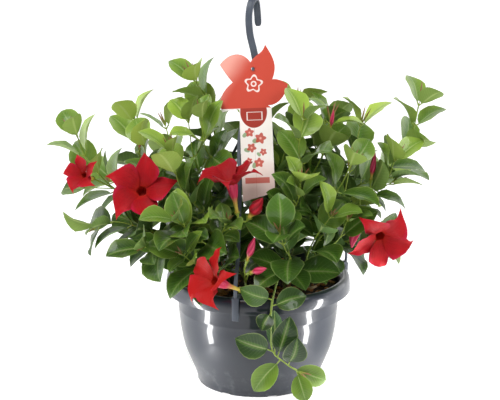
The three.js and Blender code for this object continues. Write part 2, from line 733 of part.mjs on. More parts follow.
// A leaf runs straight from the stem to its tip. Its outline is an ellipse, its halves rise from
// the midrib, and it arches above the line from base to tip. Its rows start at the blade's base.
function leafRows(leaf, extra = 0) {
  const { from, tip, width, face } = leaf;
  const base = leafBase(leaf);
  const ahead = tip.clone().sub(from).normalize();
  const normal = across(ahead, face);
  const side = ahead.clone().cross(normal);
  const length = base.distanceTo(tip);
  const thick = (BLADE + extra) / 2;
  const reach = 1 + extra / 2;
  const neck = [
    [-0.87, 0.87].map((part) => shifted(base, [side, part * reach], [normal, 0.5 * reach])),
    [shifted(base, [normal, -reach])],
  ];
  const isSmall = from.distanceTo(tip) < SMALL_LEAF;
  const rows = (isSmall ? [0.46] : LEAF_ROWS).map((u, index) => {
    const half = width * Math.sqrt(u * (1 - u)) * LEAF_FULLNESS;
    const arch = 4 * u * (1 - u) * LEAF_CAMBER * length;
    const middle = shifted(base, [ahead, u * length], [normal, arch]);
    const edges = [-half, half].map((out) => shifted(middle, [side, out], [normal, LEAF_FOLD * half]));
    return plateRow(index === 0 ? [edges[0], middle, edges[1]] : edges, normal, thick);
  });
  return [neck, ...rows, plateRow([tip], normal, thick)];
}

// The four corners of a socket as a plate's first row, turned so that the upper face starts from
// the side of the socket that it looks to.
function socketRow(corners, { from, tip, face }) {
  const normal = across(tip.clone().sub(from).normalize(), face);
  const turns = [0, 1, 2, 3].map((turn) => corners.map((_, i) => corners[(i + turn) % 4]));
  const rise = ([a, b, c, d]) => normal.dot(a.clone().add(b).sub(c).sub(d));
  const [a, b, c, d] = turns.reduce((best, turn) => (rise(turn) > rise(best) ? turn : best));
  return [[a, b], [c, d]];
}

// A leaf alone, with a foot at the stem's middle in place of its socket.
function leafMesh(leaf, extra) {
  const rows = leafRows(leaf, extra);
  const base = leafBase(leaf);
  const foot = rows[0].map((run) => run.map((at) => at.clone().sub(base).multiplyScalar(1.7).add(leaf.from)));
  return { ...plate([foot, ...rows]), bladeStart: 6 };
}

// Where a leaf may go instead when it would cross something: a turn about the stem and a change
// of its angle from it, in degrees, and a size.
const LEAF_CHOICES = [
  [0, 0, 1], [18, 0, 1], [-18, 0, 1], [0, -16, 1], [0, 16, 1], [34, -8, 0.95], [-34, -8, 0.95],
  [14, 24, 0.9], [-14, 24, 0.9], [0, -30, 0.85], [48, 6, 0.8], [-48, 6, 0.8], [26, -26, 0.7], [-26, -26, 0.7],
];

function leafOn(shoot, pair, side, seed, [turn, tilt, size]) {
  const draw = seededDraws(seed);
  const [turnDraw, tiltDraw, sizeDraw, faceDraw] = [draw() - 0.5, draw() - 0.5, draw() - 0.5, draw() - 0.5];
  const along = pairPlace(shoot, pair);
  const from = shoot.curve.getPointAt(along);
  const { ahead, outward } = stemFrame(shoot, along);
  const away = outward(90 * pair + 180 * side + 26 * turnDraw + turn);
  const spread = THREE.MathUtils.degToRad(Math.max(LEAST_SPREAD, 80 - 34 * along + 18 * tiltDraw + tilt));
  const toTip = ahead.clone().multiplyScalar(Math.cos(spread)).addScaledVector(away, Math.sin(spread));
  const length = LEAF_LENGTH * (1.06 - 0.28 * along ** 3) * (1 + 0.2 * sizeDraw) * size;
  const outwards = from.clone().setZ(0).normalize();
  const face = ahead.clone().multiplyScalar(0.6)
    .addScaledVector(UP, 0.45 + 0.3 * faceDraw)
    .addScaledVector(outwards, 0.35);
  return { from, tip: shifted(from, [toTip, length]), width: length * LEAF_SHAPE, face };
}

// ---- Keeping pieces clear of each other
// A guard is a slightly swollen closed mesh. Two guards cross where an edge of one goes through
// a face of the other.

function guardOf(node, { points, faces, bladeStart = 0 }) {
  const box = new THREE.Box3().setFromPoints(points);
  const placed = faces.map((face) => face.map((i) => points[i]));
  const list = (least) => placed.filter((_, index) => faces[index].every((i) => i >= least));
  return { node, box, whole: list(0), leaf: list(bladeStart), isStem: false };
}

const edgeVector = vec(0, 0, 0);
const firstSide = vec(0, 0, 0);
const secondSide = vec(0, 0, 0);
const crossed = vec(0, 0, 0);
const offset = vec(0, 0, 0);
const turnedOffset = vec(0, 0, 0);

function pierces(a, b, [p, q, r]) {
  edgeVector.subVectors(b, a);
  firstSide.subVectors(q, p);
  secondSide.subVectors(r, p);
  crossed.crossVectors(edgeVector, secondSide);
  const scale = firstSide.dot(crossed);
  if (Math.abs(scale) < 1e-12) return false;
  offset.subVectors(a, p);
  const u = offset.dot(crossed) / scale;
  if (u < 0 || u > 1) return false;
  turnedOffset.crossVectors(offset, firstSide);
  const v = edgeVector.dot(turnedOffset) / scale;
  if (v < 0 || u + v > 1) return false;
  const t = secondSide.dot(turnedOffset) / scale;
  return t >= 0 && t <= 1;
}

const facePierces = ([a, b, c], face) => pierces(a, b, face) || pierces(b, c, face) || pierces(c, a, face);
const anyEdgePierces = (facesA, facesB) =>
  facesA.some((one) => facesB.some((other) => facePierces(one, other)));

const meet = (facesA, facesB) => anyEdgePierces(facesA, facesB) || anyEdgePierces(facesB, facesA);

// A leaf's stalk may run into its own stem, and nothing else may touch.
function cross(leaf, other) {
  if (!leaf.box.intersectsBox(other.box)) return false;
  if (leaf.node !== other.node) return meet(leaf.whole, other.whole);
  return meet(leaf.leaf, other.whole) || (!other.isStem && meet(leaf.whole, other.leaf));
}

function slab(right, down, face, corner, [x0, x1], [y0, y1], depth) {
  const ring = (d) => [[x1, y0], [x1, y1], [x0, y1], [x0, y0]].map(([x, y]) =>
    shifted(corner, [right, x], [down, y], [face, d]));
  return skin([ring(-depth), ring(depth)]);
}

const POT_GUARD = [
  [0.01, -1], [86, -1], [95, 26], [107.5, 66], [113, 128], [127.8, 127.5], [127.6, 143], [122, 151.5],
  [113.5, 151.5], [111.5, 142], [0.01, 142],
];

function potGuard() {
  const rings = POT_GUARD.map(([r, z]) => roundSection(r, 24).map(([x, y]) => vec(x, y, z)));
  return skin(rings);
}

function fixedGuards() {
  const guards = [guardOf('pot', potGuard())];
  guards.push(guardOf('hook', sweep(hookCurve, 12, () => flatSection(12, 9), vec(1, 0, 0))));
  for (const strap of STRAPS) {
    const section = flatSection(STRAP_WIDTH + 3, STRAP_THICKNESS + 3);
    guards.push(guardOf(strap.name, sweep(strapCurve(strap), 12, () => section, strapSideways(strap))));
  }
  guards.push(guardOf('tag', slab(TAG_RIGHT, TAG_DOWN, TAG_FACE, TAG_HOLE, [-44, 46], [-32, 58], 2.5)));
  guards.push(guardOf('tag', slab(TAG_RIGHT, TAG_DOWN, TAG_FACE, TAG_HOLE, [-22, 24], [50, 176], 2.5)));
  return guards;
}

// ---- Blooms: a funnel with an open throat and five petals that overlap like a pinwheel

function bloomFrame({ calyx, mouth, roll }) {
  const foot = point(calyx);
  const axis = point(mouth).sub(foot);
  const length = axis.length();
  axis.normalize();
  const upward = across(axis, UP);
  return { foot, axis, length, upward, sideways: axis.clone().cross(upward).negate(), roll };
}

function petalMesh(bloom, petal, extra = 0) {
  const { foot, axis, length, upward, sideways, roll } = bloomFrame(bloom);
  const angle = THREE.MathUtils.degToRad(roll + 72 * petal);
  const out = sideways.clone().multiplyScalar(Math.cos(angle)).addScaledVector(upward, Math.sin(angle));
  const around = axis.clone().cross(out);
  const middle = shifted(foot, [axis, length]);
  const { spread: size, cup } = bloom;
  const inner = 6.3 * size; // where a petal leaves the throat
  // Each row: distance out, rise, and how far it reaches to the left and to the right.
  const thick = (BLADE + extra) / 2;
  const rows = [[6.3, -1, 3.9, 3.9], [25, 8, 16, 18], [38, 11, 13, 15]].map((row, index) => {
    const [reach, rise, left, right] = row.map((part) => part * size);
    const centre = shifted(middle, [out, reach], [axis, rise + cup * (reach - inner)]);
    const low = shifted(centre, [around, left], [axis, -0.16 * left]);
    const high = shifted(centre, [around, -right], [axis, 0.3 * right]);
    return plateRow(index === 1 ? [low, centre, high] : [low, high], axis, thick);
  });
  const tipRise = 9 * size + cup * (PETAL_REACH * size - inner);
  const tip = shifted(middle, [out, PETAL_REACH * size], [axis, tipRise], [around, 9 * size]);
  return plate([...rows, plateRow([tip], axis, thick)]);
}

// The funnel has a flat side behind each petal, and its throat is open.
function funnelMesh(bloom) {
  const { foot, axis, length, upward, sideways, roll } = bloomFrame(bloom);
  const rim = THROAT_RADIUS * bloom.spread;
  const wall = 1.4;
  const shape = [
    [TOUCH_GAP, 2.2], [0.4 * length, 2.8], [0.56 * length, 0.66 * rim], [length, rim],
    [length, rim - wall], [0.62 * length, 0.7 * rim - wall],
  ];
  return skin(shape.map(([height, radius]) => [0, 1, 2, 3, 4].map((corner) => {
    const angle = THREE.MathUtils.degToRad(roll + 72 * corner + 36);
    const out = sideways.clone().multiplyScalar(Math.cos(angle)).addScaledVector(upward, Math.sin(angle));
    return shifted(foot, [axis, height], [out, radius]);
  })));
}

function budMesh({ calyx, tip, radius }, extra = 0) {
  const foot = point(calyx);
  const axis = point(tip).sub(foot);
  const length = axis.length();
  axis.normalize();
  const first = across(axis, vec(0.3, -1, 0.2));
  const second = axis.clone().cross(first);
  const shape = [[0, 0.3], [0.16, 0.42], [0.4, 0.95], [0.6, 1], [0.82, 0.6], [1, 0.12]];
  return skin(shape.map(([along, part], ring) => Array.from({ length: 5 }, (_, corner) => {
    const angle = (2 * Math.PI * corner) / 5 + 0.32 * ring;
    const reach = part * radius + extra;
    const height = Math.max(TOUCH_GAP, along * length);
    return shifted(foot, [axis, height], [first, reach * Math.cos(angle)], [second, reach * Math.sin(angle)]);
  })));
}

// ---- Layout: stems, blooms and buds hold their places, and leaves are bent clear of them

const guards = fixedGuards();
const growth = new Map(); // for each stem's node, the meshes that are fused in it
const grow = (node, mesh) => growth.set(node, [...(growth.get(node) ?? []), mesh]);

for (const shoot of laidShoots) guards.push({ ...guardOf(shoot.node, swollenStem(shoot, 2)), isStem: true });
for (const carried of [...BLOOMS, ...BUDS]) {
  const { node } = shootsByName.get(carried.stem);
  guards.push({ ...guardOf(node, stalkMesh(carried, () => roundSection(2.4, 4))), isStem: true });
}
for (const bud of BUDS) guards.push(guardOf(bud.name, budMesh(bud, 0.8)));
for (const bloom of BLOOMS) {
  const { foot, axis, length } = bloomFrame(bloom);
  const tube = curveThrough([foot, shifted(foot, [axis, length / 2]), shifted(foot, [axis, length])]);
  guards.push(guardOf(bloom.name, sweep(tube, 2, (along) => roundSection(4 + 7 * along, 6), stalkHint)));
  for (let petal = 0; petal < 5; petal++) guards.push(guardOf(bloom.name, petalMesh(bloom, petal, 1.6)));
  const inFront = [14, 32, 50].map((rise) => shifted(foot, [axis, length + rise]));
  const openAir = sweep(curveThrough(inFront), 2, () => roundSection(bloom.room, 8), stalkHint);
  if (bloom.room > 0) guards.push(guardOf('open_air', openAir));
}

// The first of the choices that is clear of everything placed so far, or none.
function placeLeaf(shoot, at, quadrant, choices) {
  for (const leaf of choices) {
    const guard = guardOf(shoot.node, leafMesh(leaf, GUARD));
    if (guards.some((other) => cross(guard, other))) continue;
    guards.push(guard);
    shoot.leaves.push({ at, quadrant, leaf });
    return;
  }
}

const trailing = shootsByName.get('stem_trailing');
for (const { at, tip, width, face } of TRAILING_LEAVES) {
  const from = trailing.curve.getPointAt(at);
  const { outward } = stemFrame(trailing, at);
  const toTip = point(tip).sub(from);
  const facing = (quadrant) => toTip.dot(outward(90 * quadrant));
  const quadrant = [0, 1, 2, 3].reduce((best, other) => (facing(other) > facing(best) ? other : best));
  const leafTo = (size) => {
    const end = from.clone().lerp(point(tip), size);
    return { from, tip: end, width: width * size, face: point(face) };
  };
  placeLeaf(trailing, at, quadrant, [1, 0.92, 0.84, 0.76].map(leafTo));
}
laidShoots.forEach((shoot, index) => {
  for (let pair = shoot.pairs - 1; pair >= 0; pair--) {
    for (const side of [0, 1]) {
      const seed = 7919 * (index + 1) + 613 * pair + 89 * side;
      const choices = LEAF_CHOICES.map((choice) => leafOn(shoot, pair, side, seed, choice));
      placeLeaf(shoot, pairPlace(shoot, pair), (pair + 2 * side) % 4, choices);
    }
  }
});
for (const shoot of laidShoots) grow(shoot.node, leafyMesh(shoot));
for (const carried of [...BLOOMS, ...BUDS]) {
  grow(shootsByName.get(carried.stem).node, stalkMesh(carried, stalkSection));
}

// ---- The pieces

addPiece('pot', makePot(), potPlastic);
addPiece('soil', makeSoil([...shootsByName.values()].map(({ foot }) => foot)), earth);
addPiece('hanger_hook', makeHook(), hangerPlastic);
for (const strap of STRAPS) addPiece(strap.name, makeStrap(strap), hangerPlastic);
addPiece('tag', makeTag(), card);
for (const [node, meshes] of growth) addPiece(node, geometryOfSolid(fused(meshes.map(geometryOf))), foliage);
for (const bloom of BLOOMS) {
  const petals = [0, 1, 2, 3, 4].map((petal) => geometryOf(petalMesh(bloom, petal)));
  addPiece(bloom.name, geometryOfSolid(fused([geometryOf(funnelMesh(bloom)), ...petals])), redPetal);
}
for (const bud of BUDS) addPiece(bud.name, geometryOf(budMesh(bud)), bud.pink ? pinkBud : redPetal);

export default plant;
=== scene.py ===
"""A climbing mandevilla in its hanging pot, dressed for rendering.

Lengths are millimetres until a surface becomes a mesh, +Z is up, and the front looks towards -Y.
"""

import math

import bpy
import numpy as np
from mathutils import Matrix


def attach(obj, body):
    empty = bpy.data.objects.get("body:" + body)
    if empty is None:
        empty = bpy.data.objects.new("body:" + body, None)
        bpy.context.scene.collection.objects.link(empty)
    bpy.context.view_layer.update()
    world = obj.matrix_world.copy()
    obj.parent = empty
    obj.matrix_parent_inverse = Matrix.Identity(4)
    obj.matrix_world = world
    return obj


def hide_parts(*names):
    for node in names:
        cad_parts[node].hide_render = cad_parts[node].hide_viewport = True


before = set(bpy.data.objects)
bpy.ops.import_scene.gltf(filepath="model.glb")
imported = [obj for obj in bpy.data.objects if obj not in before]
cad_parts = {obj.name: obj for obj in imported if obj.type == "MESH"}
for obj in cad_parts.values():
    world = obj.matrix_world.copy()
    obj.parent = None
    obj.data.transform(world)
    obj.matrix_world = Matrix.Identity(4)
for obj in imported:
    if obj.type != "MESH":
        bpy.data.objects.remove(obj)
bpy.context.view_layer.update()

bl_info = {
    "name": "Potted Mandevilla",
    "version": (1, 0, 0),
    "blender": (4, 5, 0),
    "location": "3D View > Sidebar > Mandevilla",
    "description": "Dresses a climbing mandevilla and its hanging pot",
    "category": "Object",
}

UP = np.array([0.0, 0.0, 1.0])

# ---- The same sizes as the solids

BASE_RADIUS = 82.6
WALL_TOP_RADIUS = 110
SKIRT_BOTTOM = 129
RIM_TOP = 149
FLOOR = 3  # thickness of the pot's floor
FOOT_NOTCHES = 8

SOIL_TOP = 136.5
HOLE_DEPTH = 22  # how deep a stem stands in the soil

STRAP_WIDTH = 4.7
STRAP_THICKNESS = 3
CLIP_WIDTH = 8.7
HUB = np.array([0.0, 0.0, 381.0])
HUB_RADIUS = 7

CARD = 0.8  # thickness of the tag
BLADE = 0.8  # thickness of a solid's leaf or petal
GUARD = 0.7  # how much thicker a blade is taken to be when it is kept clear of its neighbours
PETAL_GUARD = 1.6  # the same for a petal

LEAF_LENGTH = 62  # a full-grown leaf with its stalk
LEAF_SHAPE = 0.66  # its width for its length
LEAF_STALK = 0.14  # the part of that length that is stalk
LEAF_FOLD = 0.3  # how steeply its halves rise from the midrib
LEAF_CAMBER = 0.09  # how high it arches, for its length
LEAF_ROWS = (0.3, 0.72)  # where a solid's facets meet, from the blade's base to its tip
SMALL_LEAF_ROWS = (0.46,)
LEAF_FULLNESS = 1.1  # makes up for the corners that facets cut off the outline
SMALL_LEAF = 36  # below this length a solid's leaf has fewer facets
LAST_PAIR = 0.985  # the fraction of a stem where its last leaves stand
CROWDING = 0.3  # how much closer together the leaf pairs are at the tip
STEM_STEP = 42  # the longest stretch of a solid's stem without a facet's end
LEAST_STALK = 4.5
LEAST_SPREAD = 34  # the least angle between a leaf and its stem, in degrees
WIDEST_SPREAD = 80  # the same at the stem's foot, before the seeded draw

PETALS = 5
PETAL_REACH = 50  # from the middle of a bloom to a petal's tip
PETAL_START = 6.3  # where a petal leaves the throat
THROAT_RADIUS = 8.5

HOOK_LINE = (
    (0, 0, 374), (-1, 0, 405), (-2.5, 0, 432), (-6, 0, 452), (-11, 0, 474), (-12.5, 1, 496),
    (-10, 7, 512), (-5.5, 17, 517.5), (-2.5, 27, 510), (-1, 31, 496), (0, 31.5, 480),
)

# ---- Where everything grows: the angle of each strap, the line of each shoot, and what it carries

STRAPS = (
    dict(name="hanger_strap_front", angle=256.5,
         bend=((-16, -16, 374), (-25, -34, 340), (-24, -66, 280), (-26, -98, 209))),
    dict(name="hanger_strap_right", angle=18, bend=((18, 8, 346), (44, 19, 292), (84, 29, 216))),
    dict(name="hanger_strap_left", angle=138,
         bend=((-16, 14, 347), (-40, 34, 293), (-71, 61, 216))),
)

SHOOTS = (
    dict(name="stem_far_left", foot=(-44, -8), pairs=7, first=0.34, roll=10,
         route=((-52, -9, 180), (-82, -12, 222), (-177, -20, 262), (-222, -30, 308),
                (-238, -30, 347))),
    dict(name="stem_left_back", foot=(-40, 26), pairs=6, first=0.34, roll=50,
         route=((-48, 30, 190), (-78, 32, 242), (-146, 45, 274), (-164, 50, 314), (-168, 50, 350))),
    dict(of="stem_left_back", at=0.42, pairs=3, first=0.3, roll=20,
         route=((-128, 34, 246), (-186, 42, 254), (-234, 44, 256))),
    dict(name="stem_high_left", foot=(-20, 18), pairs=7, first=0.3, roll=30,
         route=((-28, 22, 190), (-44, 28, 242), (-56, 30, 318), (-66, 20, 372), (-84, 10, 412))),
    dict(of="stem_high_left", at=0.3, pairs=3, first=0.34, roll=0,
         route=((-62, 6, 252), (-84, -14, 308), (-92, -18, 362))),
    dict(of="stem_high_left", at=0.44, pairs=4, first=0.26, roll=50,
         route=((-62, -6, 306), (-70, -40, 334), (-74, -50, 372))),
    dict(name="stem_left_front", foot=(-38, -40), pairs=5, first=0.36, roll=60,
         route=((-46, -46, 190), (-66, -58, 240), (-100, -70, 284), (-112, -70, 334))),
    dict(of="stem_left_front", at=0.3, pairs=3, first=0.4, roll=15,
         route=((-74, -78, 216), (-92, -104, 238), (-104, -118, 256))),
    dict(of="stem_left_front", at=0.5, pairs=3, first=0.34, roll=35,
         route=((-112, -48, 256), (-138, -34, 290), (-150, -26, 328))),
    dict(name="stem_low_left", foot=(-64, -22), pairs=6, first=0.36, roll=0,
         route=((-74, -26, 172), (-106, -34, 203), (-156, -50, 226), (-188, -52, 234),
                (-212, -50, 226))),
    dict(of="stem_low_left", at=0.3, pairs=3, first=0.34, roll=40,
         route=((-112, -62, 204), (-132, -84, 208), (-146, -100, 214))),
    dict(name="stem_far_right", foot=(40, 0), pairs=7, first=0.32, roll=25,
         route=((48, 0, 184), (72, -2, 232), (149, 0, 280), (198, 0, 328), (213, 0, 384))),
    dict(of="stem_far_right", at=0.4, pairs=3, first=0.3, roll=70,
         route=((112, 26, 276), (128, 34, 306), (138, 32, 346))),
    dict(of="stem_far_right", at=0.56, pairs=3, first=0.34, roll=10,
         route=((160, -26, 276), (170, -38, 290), (178, -42, 314))),
    dict(name="stem_back_middle", foot=(12, 34), pairs=5, first=0.32, roll=45,
         route=((16, 44, 190), (26, 56, 249), (44, 60, 312), (54, 58, 370))),
    dict(of="stem_back_middle", at=0.26, pairs=3, first=0.4, roll=10,
         route=((14, 34, 262), (10, 26, 310), (8, 24, 346))),
    dict(of="stem_back_middle", at=0.5, pairs=3, first=0.3, roll=65,
         route=((64, 36, 292), (82, 26, 320), (90, 20, 352))),
    dict(name="stem_right_middle", foot=(34, -26), pairs=5, first=0.32, roll=80,
         route=((42, -28, 190), (58, -26, 262), (84, -22, 316), (94, -20, 362))),
    dict(of="stem_right_middle", at=0.34, pairs=3, first=0.34, roll=20,
         route=((78, -54, 252), (104, -76, 286), (118, -84, 318))),
    dict(of="stem_right_middle", at=0.5, pairs=4, first=0.26, roll=40,
         route=((62, -48, 294), (52, -62, 332), (58, -64, 374))),
    dict(name="stem_right_low", foot=(60, -18), pairs=5, first=0.36, roll=0,
         route=((68, -22, 176), (92, -32, 222), (134, -42, 262), (174, -42, 284))),
    dict(of="stem_right_low", at=0.28, pairs=3, first=0.5, roll=50,
         route=((104, -38, 200), (130, -44, 206), (154, -50, 210))),
    dict(of="stem_right_low", at=0.42, pairs=3, first=0.34, roll=75,
         route=((98, -54, 232), (110, -58, 264), (118, -52, 302))),
    dict(name="stem_trailing", foot=(34, -58), pairs=0,
         route=((36, -66, 168), (34, -92, 186), (25, -118, 176), (17, -136, 148),
                (16, -143, 115), (18, -145, 88), (34, -145, 72), (51, -145, 60))),
    dict(of="stem_trailing", at=0.12, pairs=4, first=0.3, roll=0,
         route=((44, -84, 186), (34, -104, 212), (27, -120, 238))),
    dict(name="stem_middle", foot=(6, -24), pairs=4, first=0.36, roll=20,
         route=((10, -30, 184), (18, -38, 232), (24, -36, 284), (36, -32, 328))),
    dict(of="stem_middle", at=0.4, pairs=3, first=0.36, roll=65,
         route=((34, -64, 246), (50, -84, 268), (54, -92, 300))),
    dict(name="stem_front_middle", foot=(-16, -46), pairs=3, first=0.42, roll=70,
         route=((-26, -58, 174), (-44, -78, 200), (-48, -96, 226), (-40, -110, 250))),
    dict(of="stem_front_middle", at=0.3, pairs=3, first=0.36, roll=20,
         route=((-56, -92, 186), (-80, -112, 194), (-96, -122, 210))),
    dict(name="stem_front_right", foot=(58, -46), pairs=4, first=0.32, roll=35,
         route=((62, -52, 176), (70, -78, 212), (92, -100, 254))),
    dict(of="stem_front_right", at=0.34, pairs=3, first=0.4, roll=60,
         route=((84, -62, 196), (104, -80, 218), (114, -90, 246))),
    dict(name="stem_back_left", foot=(-28, 52), pairs=4, first=0.32, roll=15,
         route=((-40, 62, 186), (-76, 86, 228), (-112, 112, 268), (-130, 136, 322))),
    dict(of="stem_back_left", at=0.32, pairs=2, first=0.32, roll=60,
         route=((-108, 92, 222), (-160, 104, 240), (-204, 112, 248))),
    dict(name="stem_back", foot=(2, 62), pairs=4, first=0.32, roll=30,
         route=((0, 78, 188), (-8, 104, 244), (-18, 124, 296), (-24, 134, 344))),
    dict(of="stem_back", at=0.24, pairs=2, first=0.32, roll=0,
         route=((22, 104, 200), (36, 138, 214), (44, 172, 216))),
    dict(name="stem_back_right", foot=(38, 46), pairs=4, first=0.32, roll=75,
         route=((48, 56, 186), (66, 78, 232), (88, 104, 276), (100, 122, 330))),
    dict(of="stem_back_right", at=0.3, pairs=3, first=0.3, roll=20,
         route=((96, 74, 222), (138, 90, 240), (172, 104, 260))),
)

TRAILING_LEAVES = (
    dict(at=0.83, tip=(-30, -158, 110), width=35, face=(-0.2, -1, 0.3)),
    dict(at=0.89, tip=(-6, -146, 34), width=31, face=(0, -1, 0.2)),
    dict(at=0.99, tip=(61, -154, 22), width=27, face=(0, -1, 0.1)),
    dict(at=0.94, tip=(49, -160, 112), width=30, face=(0.1, -1, -0.2)),
    dict(at=0.965, tip=(88, -128, 42), width=27, face=(0.2, -1, 0.4)),
    dict(at=0.87, tip=(40, -148, 136), width=33, face=(0.2, -1, 0.1)),
    dict(at=0.6, tip=(61, -134, 158), width=30, face=(0.1, -0.9, 0.5)),
    dict(at=0.57, tip=(-24, -150, 174), width=27, face=(-0.4, -0.9, 0.3)),
    dict(at=0.63, tip=(4, -152, 118), width=24, face=(-0.3, -1, 0.2)),
    dict(at=0.4, tip=(-4, -140, 168), width=32, face=(-0.4, -0.8, 0.6)),
    dict(at=0.3, tip=(60, -128, 164), width=34, face=(0.4, -0.8, 0.6)),
    dict(at=0.85, tip=(20, -136, 140), width=22, face=(0, 1, 0.2)),
)

BLOOMS = (
    dict(name="bloom_left", stem="stem_far_left", at=0.45,
         bend=(-147, -12, 250), calyx=(-149, -20, 256), mouth=(-152, -60, 278),
         roll=3, spread=1, cup=0, room=34),
    dict(name="bloom_middle", stem="stem_front_middle", at=0.8,
         bend=(-30, -101, 242), calyx=(-27, -101, 258), mouth=(-34, -106, 300),
         roll=20, spread=0.88, cup=0.18, room=30),
    dict(name="bloom_front", stem="stem_front_middle", at=0.24,
         bend=(-16, -112, 164), calyx=(-22, -134, 166), mouth=(-56, -160, 187),
         roll=12, spread=0.86, cup=0, room=30),
    dict(name="bloom_right", stem="stem_right_low", at=0.72,
         bend=(140, -32, 262), calyx=(144, -40, 242), mouth=(157, -93, 226),
         roll=50, spread=0.94, cup=0, room=32),
    dict(name="bloom_far_left", stem="stem_far_left", at=0.72,
         bend=(-212, -36, 286), calyx=(-216, -44, 290), mouth=(-226, -64, 300),
         roll=30, spread=0.55, cup=0.25, room=16),
)

BUDS = (
    dict(name="bud_middle", stem="stem_front_middle", at=0.88,
         bend=(-24, -105, 248), calyx=(-13, -102, 252), tip=(5, -106, 280), radius=7.8, pink=False),
    dict(name="bud_front_upright", stem="stem_front_middle", at=0.16,
         bend=(-18, -106, 184), calyx=(-15, -120, 200), tip=(-5, -125, 233), radius=4.6, pink=True),
    dict(name="bud_front_level", stem="stem_front_middle", at=0.2,
         bend=(-14, -104, 177), calyx=(-12, -124, 186), tip=(10, -136, 196), radius=4.4, pink=True),
    dict(name="bud_right_hanging", stem="stem_right_low", at=0.66,
         bend=(130, -62, 268), calyx=(130, -70, 254), tip=(121, -84, 208), radius=7.2, pink=True),
    dict(name="bud_right_upright", stem="stem_right_low", at=0.78,
         bend=(146, -46, 276), calyx=(147, -46, 288), tip=(152, -46, 326), radius=3.8, pink=True),
    dict(name="bud_right_slim", stem="stem_right_middle", at=0.84,
         bend=(92, -27, 344), calyx=(94, -30, 352), tip=(98, -32, 380), radius=2.6, pink=True),
    dict(name="bud_left_slim", stem="stem_left_back", at=0.72,
         bend=(-163, 36, 306), calyx=(-160, 28, 312), tip=(-158, 24, 334), radius=2.4, pink=True),
)

# What a leaf may do to stay clear: a turn about its stem, a change of its angle, and a size.
LEAF_CHOICES = (
    (0, 0, 1), (18, 0, 1), (-18, 0, 1), (0, -16, 1), (0, 16, 1), (34, -8, 0.95), (-34, -8, 0.95),
    (14, 24, 0.9), (-14, 24, 0.9), (0, -30, 0.85), (48, 6, 0.8), (-48, 6, 0.8), (26, -26, 0.7),
    (-26, -26, 0.7),
)

FILL_SPACING = 17  # from one pair of filling leaves to the next
HEART = np.array([0.0, 0.0, 200.0])  # the middle of the plant, which is thick with leaves
HEART_SIZE = np.array([165.0, 165.0, 112.0])
FILL_CHOICES = (
    (0, 0, 0.86), (25, 0, 0.8), (-25, 0, 0.8), (0, -22, 0.78), (0, 22, 0.78), (45, 0, 0.7),
    (-45, 0, 0.7), (0, 0, 0.55), (30, 20, 0.6), (-30, 20, 0.6), (20, -20, 0.5), (-20, -20, 0.5),
)

# ---- Vectors, curves and seeded draws


def unit(vectors):
    """Each vector divided by its length."""
    return vectors / np.maximum(np.linalg.norm(vectors, axis=-1, keepdims=True), 1e-12)


def dot(first, second):
    """The sum of the products of like coordinates, kept as a last axis of one."""
    return np.sum(first * second, axis=-1, keepdims=True)


def across(direction, hint):
    """The part of hint at right angles to direction, at length one."""
    return unit(hint - direction * dot(direction, hint))


def seeded_draws(seed):
    """A multiplicative congruential sequence: the state times 16807, modulo 2 to the 31 less 1."""
    state = seed % 2147483646 + 1

    def draw():
        nonlocal state
        state = state * 16807 % 2147483647
        return state / 2147483647

    draw()
    draw()
    return draw


def through(places, knots, values):
    """A smooth run of values: on each stretch between knots, the cubic with the slopes of its ends."""
    knots = np.asarray(knots, float)
    values = np.asarray(values, float)
    slopes = np.gradient(values, knots)
    index = np.clip(np.searchsorted(knots, places, side="right") - 1, 0, len(knots) - 2)
    stretch = knots[index + 1] - knots[index]
    part = (places - knots[index]) / stretch
    start = (1 + 2 * part) * (1 - part) ** 2 * values[index]
    end = part**2 * (3 - 2 * part) * values[index + 1]
    lean = part * (1 - part) ** 2 * stretch * slopes[index]
    return start + end + lean + part**2 * (part - 1) * stretch * slopes[index + 1]


class Curve:
    """A line through points, walked by its length.

    On each stretch it is the cubic whose slope at a point is half the step between that point's
    neighbours. Beyond either end the next point is the last one's mirror image.
    """

    STEPS = 200
    NUDGE = 1e-4

    def __init__(self, points):
        inner = np.array(points, float)
        self.points = np.vstack([2 * inner[0] - inner[1], inner, 2 * inner[-1] - inner[-2]])
        self.stretches = len(inner) - 1
        self.parts = np.linspace(0, 1, self.STEPS + 1)
        chords = np.linalg.norm(np.diff(self.at_part(self.parts), axis=0), axis=1)
        self.lengths = np.concatenate([[0], np.cumsum(chords)])
        self.length = self.lengths[-1]

    def at_part(self, part):
        place = np.clip(np.asarray(part, float), 0, 1) * self.stretches
        stretch = np.minimum(place.astype(int), self.stretches - 1)
        w = (place - stretch)[..., None]
        before, start, end, after = (self.points[stretch + step] for step in range(4))
        leave = (end - before) / 2
        arrive = (after - start) / 2
        square = 3 * (end - start) - 2 * leave - arrive
        cube = 2 * (start - end) + leave + arrive
        return start + w * (leave + w * (square + w * cube))

    def part_at(self, along):
        return np.interp(np.asarray(along, float) * self.length, self.lengths, self.parts)

    def point(self, along):
        return self.at_part(self.part_at(along))

    def ahead(self, along):
        part = self.part_at(along)
        return unit(self.at_part(part + self.NUDGE) - self.at_part(part - self.NUDGE))


def swept(curve, places, section, hint):
    """Rings of a section carried along a curve: each corner (a, b) stands a to the side, which is
    the way of the hint, and b at right angles to both."""
    section = np.asarray(section, float)
    centre = curve.point(places)
    ahead = curve.ahead(places)
    side = across(ahead, np.asarray(hint, float))
    other = np.cross(ahead, side)
    return centre[:, None] + side[:, None] * section[..., :1] + other[:, None] * section[..., 1:]


def round_section(radius, sides):
    """Corners at equal angles on a circle. A column of radii gives a section for each ring."""
    angle = 2 * np.pi * np.arange(sides) / sides
    return np.asarray(radius, float)[..., None, None] * np.stack([np.cos(angle), np.sin(angle)], -1)


def flat_section(width, height):
    return np.array([[1, 1], [-1, 1], [-1, -1], [1, -1]]) * (width / 2, height / 2)


